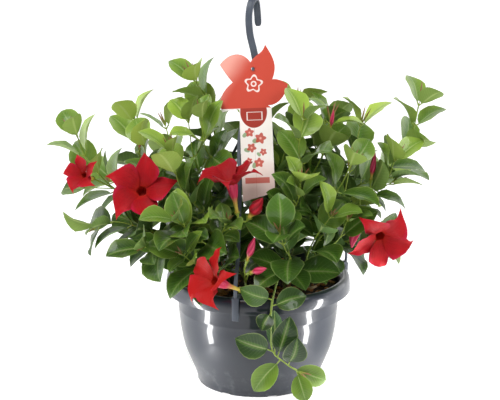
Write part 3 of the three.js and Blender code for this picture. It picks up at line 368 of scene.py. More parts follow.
def ways_out(first, second, angle):
    """The ways out at these angles from first, turning towards second."""
    return first * np.cos(angle)[:, None] + second * np.sin(angle)[:, None]


def wall_corners(count, sides):
    """For each square of a tube's wall, its first corner and the next one on the same ring."""
    rings = np.arange(count - 1)[:, None] * sides
    corners = np.arange(sides)
    return (rings + corners).ravel(), (rings + (corners + 1) % sides).ravel()


# ---- Growth: the same layout as the solids, leaf for leaf


def lay_shoots():
    """Each shoot with its curve: a main stem from its hole in the soil, a side shoot from its own
    place on the stem it is of, and both along their routes."""
    laid = []
    named = {}
    for shoot in SHOOTS:
        parent = named.get(shoot.get("of"))
        if parent:
            start = [parent["curve"].point(shoot["at"])]
        else:
            start = [(*shoot["foot"], SOIL_TOP - HOLE_DEPTH), (*shoot["foot"], SOIL_TOP + 6)]
        curve = Curve([*start, *shoot["route"]])
        reach = unit((curve.at_part(1) - curve.at_part(0)) * (1, 1, 0))
        node = parent["node"] if parent else shoot["name"]
        row = dict(shoot, node=node, curve=curve, hint=np.cross(reach, UP), leaves=[])
        laid.append(row)
        if "name" in shoot:
            named[shoot["name"]] = row
    return laid, named


def stem_radius(shoot, along):
    return 1.7 - 0.6 * along if "of" in shoot else 2.4 - 1.2 * along


def stem_frame(shoot, along):
    """Ahead along a stem, and a function that gives the way out at so many degrees around it."""
    ahead = shoot["curve"].ahead(along)
    first = across(ahead, shoot["hint"])
    second = np.cross(ahead, first)

    def outward(degrees):
        angle = math.radians(shoot.get("roll", 0) + degrees)
        return first * math.cos(angle) + second * math.sin(angle)

    return ahead, outward


def pair_place(shoot, pair):
    """How far along its stem a pair of leaves stands: even steps, drawn closer towards the tip."""
    part = pair / (shoot["pairs"] - 1) if shoot["pairs"] > 1 else 1
    return shoot["first"] + (LAST_PAIR - shoot["first"]) * (part + CROWDING * part * (1 - part))


def leaf_on(shoot, along, degrees, seed, choice):
    """A leaf so many degrees around its stem: its angle from the stem and its length fall off
    towards the tip, with seeded draws on both, and it looks up, ahead and outwards."""
    draw = seeded_draws(seed)
    turn_draw, tilt_draw, size_draw, face_draw = (draw() - 0.5 for _ in range(4))
    turn, tilt, size = choice
    foot = shoot["curve"].point(along)
    ahead, outward = stem_frame(shoot, along)
    away = outward(degrees + 26 * turn_draw + turn)
    spread = WIDEST_SPREAD - 34 * along + 18 * tilt_draw + tilt
    spread = math.radians(max(LEAST_SPREAD, spread))
    length = LEAF_LENGTH * (1.06 - 0.28 * along**3) * (1 + 0.2 * size_draw) * size
    tip = foot + length * (ahead * math.cos(spread) + away * math.sin(spread))
    face = ahead * 0.6 + UP * (0.45 + 0.3 * face_draw) + unit(foot * (1, 1, 0)) * 0.35
    return dict(foot=foot, tip=tip, width=length * LEAF_SHAPE, face=face)


def leaf_axes(leaf):
    """Where a leaf's blade starts, the way to its tip, its upper side's way, and its right side's."""
    step = leaf["tip"] - leaf["foot"]
    whole = np.linalg.norm(step)
    base = leaf["foot"] + step * max(LEAST_STALK / whole, LEAF_STALK)
    ahead = step / whole
    normal = across(ahead, np.asarray(leaf["face"], float))
    return base, ahead, normal, np.cross(ahead, normal), whole


def stitch(first, second, first_leads):
    """Triangles between two runs of corner numbers side by side, each stepping on in its turn."""
    faces = []
    leads = first_leads if len(first) == len(second) else len(first) < len(second)
    i = j = 0
    while i + 1 < len(first) or j + 1 < len(second):
        next_first = (i + 1) / (len(first) - 1) if i + 1 < len(first) else math.inf
        next_second = (j + 1) / (len(second) - 1) if j + 1 < len(second) else math.inf
        if next_first < next_second or (next_first == next_second and leads):
            faces.append((first[i], first[i + 1], second[j]))
            i += 1
        else:
            faces.append((first[i], second[j + 1], second[j]))
            j += 1
    return faces


def plate_faces(sizes):
    """The triangles of a plate whose rows have these numbers of upper and lower corners."""
    rows = []
    start = 0
    for upper, lower in sizes:
        middle = start + upper
        rows.append((list(range(start, middle)), list(range(middle, middle + lower))))
        start = middle + lower
    top, bottom = rows[0]
    faces = [(top[0], bottom[0], top[-1])]
    if len(bottom) == 2:
        faces.append((top[0], bottom[1], bottom[0]))
    for (upper, lower), (next_upper, next_lower) in zip(rows, rows[1:]):
        faces += stitch(upper, next_upper, True)
        faces += stitch([upper[-1], lower[0]], [next_upper[-1], next_lower[0]], True)
        faces += stitch(lower, next_lower, False)
        faces += stitch([lower[-1], upper[0]], [next_lower[-1], next_upper[0]], True)
    return np.array(faces)


LEAF_PLATE = plate_faces(((2, 1), (2, 1), (3, 3), (2, 2), (1, 1)))
SMALL_LEAF_PLATE = plate_faces(((2, 1), (2, 1), (3, 3), (1, 1)))
PETAL_PLATE = plate_faces(((2, 2), (3, 3), (2, 2), (1, 1)))


def plate_row(middle, normal, half):
    """The corners of one row: above its middle line from left to right, then below and back."""
    middle = np.asarray(middle)
    return np.concatenate([middle + normal * half, middle[::-1] - normal * half])


def leaf_guard(leaf):
    """A leaf as a slightly swollen plate of few triangles, and which of them are blade."""
    base, ahead, normal, side, whole = leaf_axes(leaf)
    length = np.linalg.norm(leaf["tip"] - base)
    half_thick = (BLADE + GUARD) / 2
    reach = 1 + GUARD / 2
    neck = np.array([
        base - side * 0.87 * reach + normal * 0.5 * reach,
        base + side * 0.87 * reach + normal * 0.5 * reach,
        base - normal * reach,
    ])
    rows = [(neck - base) * 1.7 + leaf["foot"], neck]
    is_small = whole < SMALL_LEAF
    for index, u in enumerate(SMALL_LEAF_ROWS if is_small else LEAF_ROWS):
        half = leaf["width"] * math.sqrt(u * (1 - u)) * LEAF_FULLNESS
        middle = base + ahead * u * length + normal * 4 * u * (1 - u) * LEAF_CAMBER * length
        left, right = (middle + side * out + normal * LEAF_FOLD * half for out in (-half, half))
        line = [left, middle, right] if index == 0 else [left, right]
        rows.append(plate_row(line, normal, half_thick))
    rows.append(plate_row([leaf["tip"]], normal, half_thick))
    faces = SMALL_LEAF_PLATE if is_small else LEAF_PLATE
    return np.concatenate(rows)[faces], (faces >= 2 * len(neck)).all(1)


def tube_triangles(rings):
    """The triangles of a closed tube through rings of corners."""
    count, sides = rings.shape[:2]
    start, beside = wall_corners(count, sides)
    fan = np.arange(1, sides - 1)
    faces = np.concatenate([
        np.stack([start, beside, beside + sides], 1),
        np.stack([start, beside + sides, start + sides], 1),
        np.stack([0 * fan, fan + 1, fan], 1),
        (count - 1) * sides + np.stack([0 * fan, fan, fan + 1], 1),
    ])
    return rings.reshape(-1, 3)[faces]


def pierces(start, end, face):
    """Whether each edge goes through its triangle: where it meets the triangle's plane, in weights
    of the corners, is inside and between its own ends."""
    edge = end - start
    first = face[:, 1] - face[:, 0]
    second = face[:, 2] - face[:, 0]
    crossed = np.cross(edge, second)
    scale = np.sum(first * crossed, -1)
    flat = np.abs(scale) < 1e-12
    scale = np.where(flat, 1, scale)
    offset = start - face[:, 0]
    turned = np.cross(offset, first)
    u = np.sum(offset * crossed, -1) / scale
    v = np.sum(edge * turned, -1) / scale
    t = np.sum(second * turned, -1) / scale
    return ~flat & (u >= 0) & (u <= 1) & (v >= 0) & (u + v <= 1) & (t >= 0) & (t <= 1)


class Clearance:
    """The swollen triangles of everything that has its place already."""

    def __init__(self):
        self.nodes = []
        self.triangles = np.zeros((0, 3, 3))
        self.owner = np.zeros(0, int)
        self.blade = np.zeros(0, bool)

    def add(self, node, triangles, blade=None, is_stem=False):
        if node not in self.nodes:
            self.nodes.append(node)
        count = len(triangles)
        blade = np.full(count, not is_stem) if blade is None else blade
        self.triangles = np.concatenate([self.triangles, triangles])
        self.owner = np.concatenate([self.owner, np.full(count, self.nodes.index(node))])
        self.blade = np.concatenate([self.blade, blade])
        self.low = self.triangles.min(1)
        self.high = self.triangles.max(1)

    def is_clear(self, node, triangles, blade):
        """A leaf's stalk may run into its own stem, and nothing else may touch."""
        low = triangles.min(1)
        high = triangles.max(1)
        near = np.nonzero(((self.low <= high.max(0)) & (self.high >= low.min(0))).all(1))[0]
        boxes = (self.low[near] <= high[:, None]) & (self.high[near] >= low[:, None])
        own = self.owner[near] == (self.nodes.index(node) if node in self.nodes else -1)
        counts = ~own | blade[:, None] | self.blade[near]
        ours, theirs = np.nonzero(boxes.all(2) & counts)
        mine = triangles[ours]
        other = self.triangles[near[theirs]]
        return not any(
            pierces(one[:, corner], one[:, (corner + 1) % 3], two).any()
            for one, two in ((mine, other), (other, mine))
            for corner in range(3)
        )


def axis_of(carried, end):
    """Where a bloom or bud begins, the way to its mouth or tip, and how far that is."""
    foot = np.array(carried["calyx"], float)
    axis = np.array(carried[end], float) - foot
    length = np.linalg.norm(axis)
    return foot, axis / length, length


def bloom_axes(bloom):
    """A bloom's foot, its way ahead, its length, and the upward and sideways ways across it."""
    foot, axis, length = axis_of(bloom, "mouth")
    upward = across(axis, UP)
    return foot, axis, length, upward, -np.cross(axis, upward)


# Each row of a solid's petal: distance out, rise, and how far it reaches to the left and right.
SOLID_PETAL = ((PETAL_START, -1, 3.9, 3.9), (25, 8, 16, 18), (38, 11, 13, 15))


def petal_guard(bloom, petal):
    foot, axis, length, upward, sideways = bloom_axes(bloom)
    angle = math.radians(bloom["roll"] + 360 / PETALS * petal)
    out = sideways * math.cos(angle) + upward * math.sin(angle)
    side = np.cross(axis, out)
    middle = foot + axis * length
    half_thick = (BLADE + PETAL_GUARD) / 2
    inner = PETAL_START * bloom["spread"]
    rows = []
    for index, row in enumerate(SOLID_PETAL):
        reach, rise, left, right = (part * bloom["spread"] for part in row)
        centre = middle + out * reach + axis * (rise + bloom["cup"] * (reach - inner))
        low = centre + side * left - axis * 0.16 * left
        high = centre - side * right + axis * 0.3 * right
        rows.append(plate_row([low, centre, high] if index == 1 else [low, high], axis, half_thick))
    tip_rise = 9 + bloom["cup"] * (PETAL_REACH - PETAL_START)
    tip = middle + (out * PETAL_REACH + axis * tip_rise + side * 9) * bloom["spread"]
    rows.append(plate_row([tip], axis, half_thick))
    return np.concatenate(rows)[PETAL_PLATE]


BUD_SHAPE = ((0, 0.3), (0.16, 0.42), (0.4, 0.95), (0.6, 1), (0.82, 0.6), (1, 0.12))
BUD_HINT = np.array([0.3, -1, 0.2])
BUD_GUARD = 0.8  # how much wider a bud is taken to be


def bud_guard(bud):
    foot, axis, length = axis_of(bud, "tip")
    first = across(axis, BUD_HINT)
    second = np.cross(axis, first)
    rings = []
    for ring, (along, part) in enumerate(BUD_SHAPE):
        angle = 2 * np.pi * np.arange(5)[:, None] / 5 + 0.32 * ring
        reach = part * bud["radius"] + BUD_GUARD
        centre = foot + axis * max(0.3, along * length)
        rings.append(centre + first * reach * np.cos(angle) + second * reach * np.sin(angle))
    return tube_triangles(np.array(rings))


STALK_HINT = np.array([0.3, 0.9, 0.2])


def stalk_curve(carried, named):
    """From its place on the stem, round a bend, and straight into the calyx."""
    end = np.array(carried["calyx"], float)
    ahead = unit(np.array(carried.get("mouth") or carried["tip"], float) - end)
    start = named[carried["stem"]]["curve"].point(carried["at"])
    return Curve([start, carried["bend"], end - 5 * ahead, end])


STRAP_END = ((124.6, 172), (127.4, RIM_TOP))  # the radius and height of a strap above its clip


def strap_curve(strap):
    """From the hub, down over its bends, to the clip on the pot's rim."""
    angle = math.radians(strap["angle"])
    out = np.array([math.cos(angle), math.sin(angle), 0])
    away = unit((np.array(strap["bend"][0], float) - HUB) * (1, 1, 0))
    start = [HUB + away * (HUB_RADIUS + 0.5), HUB + away * (HUB_RADIUS + 5) - 0.5 * UP]
    end = [out * radius + height * UP for radius, height in STRAP_END]
    return Curve([*start, *strap["bend"], *end])


def strap_sideways(strap):
    angle = math.radians(strap["angle"])
    return np.array([-math.sin(angle), math.cos(angle), 0])


PEG_HEIGHT = 430.0
TAG_HOLE = np.array([-7.0, -12.0, PEG_HEIGHT])
TAG_DOWN = unit(np.array([0.04, -0.36, -0.93]))
TAG_RIGHT = across(TAG_DOWN, np.array([1.0, 0.0, 0.0]))
TAG_FACE = -np.cross(TAG_RIGHT, TAG_DOWN)

# The radius and height of each corner of a hull about the pot, from its foot over its rim.
POT_GUARD = (
    (0.01, -1), (86, -1), (95, 26), (107.5, 66), (113, 128), (127.8, 127.5), (127.6, 143),
    (122, 151.5), (113.5, 151.5), (111.5, 142), (0.01, 142),
)


def tag_guard(across_range, down_range):
    """A slab 5 mm thick about a part of the tag."""
    (x0, x1), (y0, y1) = across_range, down_range
    corners = np.array([(x1, y0), (x1, y1), (x0, y1), (x0, y0)], float)
    flat = TAG_HOLE + corners[:, :1] * TAG_RIGHT + corners[:, 1:] * TAG_DOWN
    return tube_triangles(np.array([flat - 2.5 * TAG_FACE, flat + 2.5 * TAG_FACE]))


def guard_fixed(taken, laid, named):
    """Everything that a leaf has to stay clear of, other than the leaves before it."""
    pot = [
        np.column_stack([round_section(radius, 24), np.full(24, height)])
        for radius, height in POT_GUARD
    ]
    taken.add("pot", tube_triangles(np.array(pot)))
    steps = np.linspace(0, 1, 13)
    hook = swept(Curve(HOOK_LINE), steps, flat_section(12, 9), (1, 0, 0))
    taken.add("hook", tube_triangles(hook))
    band = flat_section(STRAP_WIDTH + 3, STRAP_THICKNESS + 3)
    for strap in STRAPS:
        rings = swept(strap_curve(strap), steps, band, strap_sideways(strap))
        taken.add(strap["name"], tube_triangles(rings))
    taken.add("tag", tag_guard((-44, 46), (-32, 58)))
    taken.add("tag", tag_guard((-22, 24), (50, 176)))
    for shoot in laid:
        count = 3 * math.floor(shoot["curve"].length / STEM_STEP + 0.5) + 2
        places = np.linspace(0, 1, count + 1)
        section = round_section(stem_radius(shoot, places) + 2, 4)
        rings = swept(shoot["curve"], places, section, shoot["hint"])
        taken.add(shoot["node"], tube_triangles(rings), is_stem=True)
    for carried in BLOOMS + BUDS:
        curve = stalk_curve(carried, named)
        hint = np.cross(STALK_HINT, curve.ahead(0.5))
        rings = swept(curve, np.linspace(0, 1, 6), round_section(2.4, 4), hint)
        taken.add(named[carried["stem"]]["node"], tube_triangles(rings), is_stem=True)
    for bud in BUDS:
        taken.add(bud["name"], bud_guard(bud))
    halves = np.array([0, 0.5, 1])
    for bloom in BLOOMS:
        foot, axis, length = axis_of(bloom, "mouth")
        tube = Curve([foot, foot + axis * length / 2, foot + axis * length])
        rings = swept(tube, halves, round_section(4 + 7 * halves, 6), STALK_HINT)
        taken.add(bloom["name"], tube_triangles(rings))
        for petal in range(PETALS):
            taken.add(bloom["name"], petal_guard(bloom, petal))
        air = Curve([foot + axis * (length + rise) for rise in (14, 32, 50)])
        rings = swept(air, halves, round_section(bloom["room"], 8), STALK_HINT)
        taken.add("open_air", tube_triangles(rings))


def place_leaf(taken, shoot, at, choices):
    """Gives a leaf the first of its choices that is clear of everything placed before it."""
    for leaf in choices:
        triangles, blade = leaf_guard(leaf)
        if taken.is_clear(shoot["node"], triangles, blade):
            taken.add(shoot["node"], triangles, blade)
            shoot["leaves"].append(dict(leaf, at=at))
            return


def grow():
    """Every shoot with its leaves: the trailing stem's own first, then pair by pair from each tip,
    and then the filling leaves."""
    laid, named = lay_shoots()
    taken = Clearance()
    guard_fixed(taken, laid, named)
    trailing = named["stem_trailing"]
    for row in TRAILING_LEAVES:
        foot = trailing["curve"].point(row["at"])
        step = np.array(row["tip"], float) - foot
        face = np.array(row["face"], float)
        choices = [
            dict(foot=foot, tip=foot + step * size, width=row["width"] * size, face=face)
            for size in (1, 0.92, 0.84, 0.76)
        ]
        place_leaf(taken, trailing, row["at"], choices)
    for index, shoot in enumerate(laid):
        for pair in reversed(range(shoot["pairs"])):
            for side in (0, 1):
                seed = 7919 * (index + 1) + 613 * pair + 89 * side
                at = pair_place(shoot, pair)
                degrees = 90 * pair + 180 * side
                choices = (leaf_on(shoot, at, degrees, seed, choice) for choice in LEAF_CHOICES)
                place_leaf(taken, shoot, at, choices)
    fill_in(taken, laid)
    return laid, named


def fill_in(taken, laid):
    """Smaller leaves, which the solids leave out, between the pairs and on the bare feet of the
    stems, wherever there is room in the heart of the plant."""
    for index, shoot in enumerate(laid):
        if shoot["node"] in ("stem_trailing", "stem_front_right"):
            continue
        spacing = FILL_SPACING / shoot["curve"].length
        start = shoot.get("first", 0.5) * (0.3 if "of" in shoot else 0.55)
        for step, at in enumerate(np.arange(0.95, start, -spacing)):
            from_heart = (shoot["curve"].point(at) - HEART) / HEART_SIZE
            if np.sum(from_heart**2) > 1:
                continue
            for side in (0, 1):
                seed = 104729 + 4409 * index + 211 * step + 37 * side
                degrees = 45 + 70 * step + 180 * side
                choices = (leaf_on(shoot, at, degrees, seed, choice) for choice in FILL_CHOICES)
                place_leaf(taken, shoot, at, choices)


# ---- Surfaces made into meshes


class Surfaces:
    """Gathers closed tubes into one mesh, with numbers at their corners for its materials to read.

    rings has the shape (tubes, rings, sides, 3), each ring counter-clockwise about the way ahead.
    Each tube is walls of quads and one face at either end. A thin blade's quads are numbered so
    that both of its sides split into triangles alike, and can't cross.
    """

    def __init__(self):
        self.points = []
        self.faces = []
        self.kinds = []
        self.numbers = {}
        self.count = 0

    def add(self, rings, kind=0, is_blade=False, **numbers):
        rings = np.asarray(rings, float)
        rings = rings.reshape(-1, *rings.shape[-3:])
        tubes, count, sides = rings.shape[:3]
        size = count * sides
        start, beside = wall_corners(count, sides)
        walls = np.stack([start, beside, beside + sides, start + sides], 1)
        if is_blade:
            lower = np.tile(np.arange(sides) >= sides / 2, count - 1)
            walls[lower] = np.roll(walls[lower], -1, axis=1)
        firsts = self.count + size * np.arange(tubes)
        kinds = np.tile(np.broadcast_to(kind, (count - 1, sides)).ravel(), tubes)
        self.faces += (firsts[:, None, None] + walls).reshape(-1, 4).tolist()
        self.faces += (firsts[:, None] + np.arange(sides)[::-1]).tolist()
        self.faces += (firsts[:, None] + size - sides + np.arange(sides)).tolist()
        self.kinds.append(np.concatenate([kinds, np.repeat(np.ravel(kind)[[0, -1]], tubes)]))
        self.points.append(rings.reshape(-1, 3))
        for name in set(self.numbers) | set(numbers):
            have = self.numbers.setdefault(name, [np.zeros(self.count)])
            have.append(np.broadcast_to(numbers.get(name, 0), (tubes, count, sides)).ravel())
        self.count += tubes * size

    def piece(self, name, materials, slot, *nodes, sharp=50):
        """The finished piece, which rides on the plant's one body in place of these nodes."""
        mesh = bpy.data.meshes.new(name)
        mesh.from_pydata((np.concatenate(self.points) / 1000).tolist(), [], self.faces)
        for label, values in self.numbers.items():
            layer = mesh.attributes.new(label, "FLOAT", "POINT")
            layer.data.foreach_set("value", np.concatenate(values).astype(np.float32))
        for material in materials:
            mesh.materials.append(material)
        mesh.polygons.foreach_set("material_index", np.concatenate(self.kinds).astype(np.int32))
        mesh.polygons.foreach_set("use_smooth", np.ones(len(self.faces), bool))
        mesh.set_sharp_from_angle(angle=math.radians(sharp))
        mesh.update()
        show(bpy.data.objects.new(name, mesh), slot, *nodes)


def show(piece, slot, *nodes):
    bpy.context.scene.collection.objects.link(piece)
    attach(piece, "root")
    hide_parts(*nodes)


def even_turns(count):
    """So many angles at equal steps around a circle."""
    return 2 * np.pi * np.arange(count) / count


def turned_rings(radius, height, sides):
    """A profile turned about the upright axis: at each step of it a circle of its radius, at its
    height. height may also vary around, as an array (steps, sides)."""
    angle = even_turns(sides)
    radius = np.asarray(radius, float)[:, None]
    height = np.asarray(height, float).reshape(len(radius), -1) * np.ones(sides)
    return np.stack([radius * np.cos(angle), radius * np.sin(angle), height], -1)


# ---- Shading: sums on sockets


class Wire:
    """A number or a colour on its way through a material's nodes, to be added and multiplied."""

    def __init__(self, tree, socket):
        self.tree = tree
        self.socket = socket

    def through_math(self, operation, *others):
        node = self.tree.nodes.new("ShaderNodeMath")
        node.operation = operation
        for socket, value in zip(node.inputs, (self, *others)):
            feed(self.tree, socket, value)
        return Wire(self.tree, node.outputs[0])

    def __add__(self, other):
        return self.through_math("ADD", other)

    def __sub__(self, other):
        return self.through_math("SUBTRACT", other)

    def __mul__(self, other):
        return self.through_math("MULTIPLY", other)

    def size(self):
        return self.through_math("ABSOLUTE")

    def sine(self):
        return self.through_math("SINE")

    def root(self):
        return self.through_math("SQRT")

    def angle_from(self, other):
        return self.through_math("ARCTAN2", other)

    def at_most(self, other):
        return self.through_math("MINIMUM", other)

    def at_least(self, other):
        return self.through_math("MAXIMUM", other)

    def step(self, low, high, start=0.0, end=1.0):
        """From start to end, in an S, while this goes from low to high."""
        node = self.tree.nodes.new("ShaderNodeMapRange")
        node.interpolation_type = "SMOOTHSTEP"
        for socket, value in zip(node.inputs, (self, low, high, start, end)):
            feed(self.tree, socket, value)
        return Wire(self.tree, node.outputs[0])

    def tint(self, first, second):
        """The first colour where this is 0, the second where it is 1."""
        node = self.tree.nodes.new("ShaderNodeMix")
        node.data_type = "RGBA"
        feed(self.tree, node.inputs[0], self)
        feed(self.tree, node.inputs[6], first)
        feed(self.tree, node.inputs[7], second)
        return Wire(self.tree, node.outputs[2])


def feed(tree, socket, value):
    if isinstance(value, Wire):
        tree.links.new(value.socket, socket)
    elif isinstance(value, (int, float)):
        socket.default_value = value
    else:
        socket.default_value = (*tuple(value)[:3], 1.0)


class Finish:
    """A material, its shader's plain numbers, and the patterns that it is mixed from."""

    def __init__(self, name, **plain):
        self.material = bpy.data.materials.new(name)
        self.material.use_nodes = True
        self.tree = self.material.node_tree
        self.shader = self.tree.nodes["Principled BSDF"]
        for label, value in plain.items():
            self.shader.inputs[label.replace("_", " ")].default_value = value
        self.coordinates = self.tree.nodes.new("ShaderNodeTexCoord")

    def number(self, name):
        node = self.tree.nodes.new("ShaderNodeAttribute")
        node.attribute_name = name
        return Wire(self.tree, node.outputs["Fac"])

    def axis(self, name):
        node = self.tree.nodes.new("ShaderNodeSeparateXYZ")
        self.tree.links.new(self.coordinates.outputs["Object"], node.inputs[0])
        return Wire(self.tree, node.outputs[name])

    def stretched(self, scale):
        node = self.tree.nodes.new("ShaderNodeMapping")
        node.inputs["Scale"].default_value = scale
        self.tree.links.new(self.coordinates.outputs["Object"], node.inputs[0])
        return node.outputs[0]

    def noise(self, scale, detail=3.0, roughness=0.5, stretch=(1, 1, 1)):
        """Cloudy variation from 0 to 1, with features about 1/scale metres across."""
        node = self.tree.nodes.new("ShaderNodeTexNoise")
        node.inputs["Scale"].default_value = scale
        node.inputs["Detail"].default_value = detail
        node.inputs["Roughness"].default_value = roughness
        self.tree.links.new(self.stretched(stretch), node.inputs["Vector"])
        return Wire(self.tree, node.outputs[0])

    def cells(self, scale):
        """The distance from the middle of the nearest cell."""
        node = self.tree.nodes.new("ShaderNodeTexVoronoi")
        node.inputs["Scale"].default_value = scale
        self.tree.links.new(self.coordinates.outputs["Object"], node.inputs["Vector"])
        return Wire(self.tree, node.outputs["Distance"])

    def done(self, base, roughness, relief=None, depth=0.0002, strength=1.0):
        feed(self.tree, self.shader.inputs["Base Color"], base)
        feed(self.tree, self.shader.inputs["Roughness"], roughness)
        if relief is not None:
            bump = self.tree.nodes.new("ShaderNodeBump")
            bump.inputs["Distance"].default_value = depth
            bump.inputs["Strength"].default_value = strength
            feed(self.tree, bump.inputs["Height"], relief)
            self.tree.links.new(bump.outputs[0], self.shader.inputs["Normal"])
        return self.material


def leaf_finish(colours):
    """Deep glossy green to fresh yellow-green by age, with a pale midrib, finer side veins that
    bow towards the tip, and a thin pale margin. Painted shade darkens a band beside the midrib, and
    the tone brings painted light high up and painted shade low down."""
    f = Finish("glossy_leaf", Specular_IOR_Level=0.24, Coat_Weight=0.3, Coat_Roughness=0.08)
    side = f.number("across").size()
    along = f.number("along")
    cloud = f.noise(60, 2)
    # The tone attribute holds seeded variation, with painted light high up and far out and painted
    # shade low down.
    tone = f.number("tone") * 0.75 + cloud * 0.25
    old = tone.tint(colours.old_leaf_dark, colours.old_leaf)
    fresh = (tone * 0.8 + 0.1).tint(colours.young_leaf_dark, colours.young_leaf)
    blade = (f.number("age") + side * 0.3 + cloud * 0.2 - 0.24).tint(old, fresh)
    rib = side.step(0.02, 0.1, 1.0, 0.0) * along.step(0.0, 0.98, 1.0, 0.5)
    phase = (along * 10.0 - side * 2.8 + cloud * 0.6) * (2 * math.pi)
    vein = phase.sine().step(0.8, 1.0) * side.step(0.05, 0.9, 1.0, 0.3)
    margin = side.step(0.9, 1.0)
    # Painted shade: a darker band in the groove on either side of the midrib, tinted towards the old
    # leaf's green.
    midrib_shade = side.step(0.05, 0.09) * side.step(0.1, 0.3, 1.0, 0.0)
    blade = (midrib_shade * 0.45).tint(blade, colours.old_leaf)
    light = (rib * 0.4 + vein * 0.06 + margin * 0.28).at_most(1.0)
    base = light.tint(blade, colours.vein)
    base = along.step(-0.2, 0.0, 1.0, 0.0).tint(base, colours.stalk)
    relief = f.noise(900, 3) * 0.12 + f.noise(130, 2) * 1.6 - rib * 0.8 - vein * 0.4
    rough = cloud * 0.12 + 0.27 + rib * 0.08
    return f.done(base, rough, relief, depth=0.0006, strength=0.8)


def underleaf_finish(colours):
    """The paler, duller side of a leaf, with its ribs raised."""
    f = Finish("pale_underleaf", Specular_IOR_Level=0.35)
    side = f.number("across").size()
    along = f.number("along")
    # The same tone, with its painted light high up and painted shade low down.
    tone = f.number("tone") * 0.7 + f.noise(60, 2) * 0.3
    old = tone.tint(colours.underleaf_dark, colours.underleaf)
    blade = f.number("age").tint(old, colours.young_leaf)
    rib = side.step(0.04, 0.14, 1.0, 0.0)
    phase = (along * 11.0 - side * 2.6) * (2 * math.pi)
    vein = phase.sine().step(0.8, 1.0)
    base = (rib * 0.5 + vein * 0.12).at_most(1.0).tint(blade, colours.vein)
    base = along.step(-0.2, 0.0, 1.0, 0.0).tint(base, colours.stalk)
    relief = rib * 0.6 + vein * 0.4 + f.noise(1200, 3) * 0.2
    return f.done(base, 0.55, relief, depth=0.0004, strength=0.6)


def stem_finish(colours):
    """Brown and finely furrowed at the foot, green further up, yellow-green where it is young."""
    f = Finish("green_stem", Specular_IOR_Level=0.4)
    age = f.number("age")
    furrow = f.noise(700, 3, stretch=(1, 1, 0.25))
    blotch = f.noise(160, 3)
    lower = (age + blotch * 0.25).step(0.12, 0.4)
    green = (age + blotch * 0.1).step(0.35, 1.0).tint(colours.stem, colours.stalk)
    base = lower.tint((furrow * 0.7).tint(colours.old_stem, colours.stem), green)
    spots = f.cells(520).step(0.0, 0.16, 1.0, 0.0)
    base = (spots * 0.35).tint(base, colours.vein)
    return f.done(base, furrow * 0.2 + 0.38, furrow + spots * 0.5, depth=0.0005)


def scale_finish(colours):
    """The scales of a growing tip: yellow-green, browned towards their points."""
    f = Finish("tip_scale", Specular_IOR_Level=0.4)
    cloud = f.noise(300, 3)
    base = (f.number("along") + cloud * 0.4).step(0.25, 1.0).tint(colours.stalk, colours.scale_tip)
    return f.done(base, 0.45, cloud, depth=0.0003)


def petal_finish(colours, sheen):
    """Scarlet velvet with crimson margins and fine veins that fan out from an orange throat, with
    painted shade along each petal's middle and over a bloom that faces up.
    """
    f = Finish("scarlet_petal", Specular_IOR_Level=0.16, Sheen_Weight=sheen, Sheen_Roughness=0.5)
    reach = f.number("along")
    side = f.number("across")
    cloud = f.noise(120, 3)
    base = (cloud * 0.55 + reach.step(0.2, 0.9) * 0.35).tint(colours.petal_deep_and_shade, colours.petal)
    edge = side.size().step(0.7, 1.0) * reach.step(0.1, 0.5)
    base = (edge * 0.7).tint(base, colours.petal_edge)
    veins = (side * 34.0 + cloud * 3.0).sine().step(0.55, 1.0) * reach.step(0.05, 0.95, 1.0, 0.25)
    base = (veins * 0.22).tint(base, colours.petal_deep_and_shade)
    # Painted shade: darker along the middle of each petal, where it folds.
    fold = side.size().step(0.0, 0.5, 0.35, 0.0) * reach.step(0.0, 0.8, 1.0, 0.3)
    base = fold.tint(base, colours.petal_deep_and_shade)
    throat = reach.step(-0.1, 0.2, 1.0, 0.0)
    base = (f.number("warmth") * 0.75).tint(base, colours.petal_warm)
    # Painted shade on a bloom that faces up.
    base = (f.number("shade") * 0.6).tint(base, colours.petal_deep_and_shade)
    base = (throat * 0.9).tint(base, colours.throat)
    rough = cloud * 0.16 + 0.48
    return f.done(base, rough, veins * -0.5 + f.noise(500, 3) * 0.3, depth=0.0005, strength=0.6)


def tube_finish(colours):
    """The outside of a bloom's tube: greenish yellow at its foot, blushing to crimson pink."""
    f = Finish("blushing_tube", Specular_IOR_Level=0.3)
    up = f.number("along") + f.noise(110, 3) * 0.16 - 0.1
    stripe = (f.number("across") * 60.0).sine() * 0.5 + 0.5
    base = up.step(0.2, 0.62).tint(colours.tube_foot, colours.tube)
    base = (stripe * up.step(0.3, 1.0) * 0.3).tint(base, colours.petal_deep_and_shade)
    return f.done(base, 0.45, stripe * 0.6 + f.noise(700, 2) * 0.2, depth=0.0003, strength=0.5)


def bud_finish(colours, name, deep, bright):
    """A furled bud: its lobes wound round each other, paler along their backs as a painted highlight,
    on a yellow foot.
    """
    f = Finish(name, Specular_IOR_Level=0.35)
    up = f.number("along")
    crest = f.number("across")
    cloud = f.noise(140, 3)
    # Painted highlight: the backs of the lobes are tinted towards the bright colour, and the furrows
    # keep the deep one.
    base = (crest.step(0.15, 1.0) * 0.75 + cloud * 0.25).tint(deep, bright)
    base = (up + cloud * 0.08).step(0.14, 0.4).tint(colours.tube_foot, base)
    relief = crest * 0.4 + f.noise(800, 3) * 0.3
    return f.done(base, cloud * 0.15 + 0.36, relief, depth=0.0004, strength=0.6)


def pot_finish(colours, gloss):
    """Smooth moulded plastic, slate grey, with faint flow marks and dusty patches low down."""
    f = Finish("slate_pot_plastic", Specular_IOR_Level=0.3, Coat_Weight=0.6, Coat_Roughness=0.06)
    flow = f.noise(14, 4, stretch=(1, 1, 0.35))
    dust = f.noise(55, 5, 0.65) * f.axis("Z").step(0.02, 0.1, 1.0, 0.35)
    fine = f.noise(1500, 2)
    base = flow.tint(colours.pot_dark, colours.pot)
    base = (dust.step(0.45, 0.8) * 0.22).tint(base, colours.dust)
    rough = dust * 0.16 + flow * 0.08 + gloss
    return f.done(base, rough, fine * 0.25 + flow * 0.75, depth=0.0004, strength=0.25)


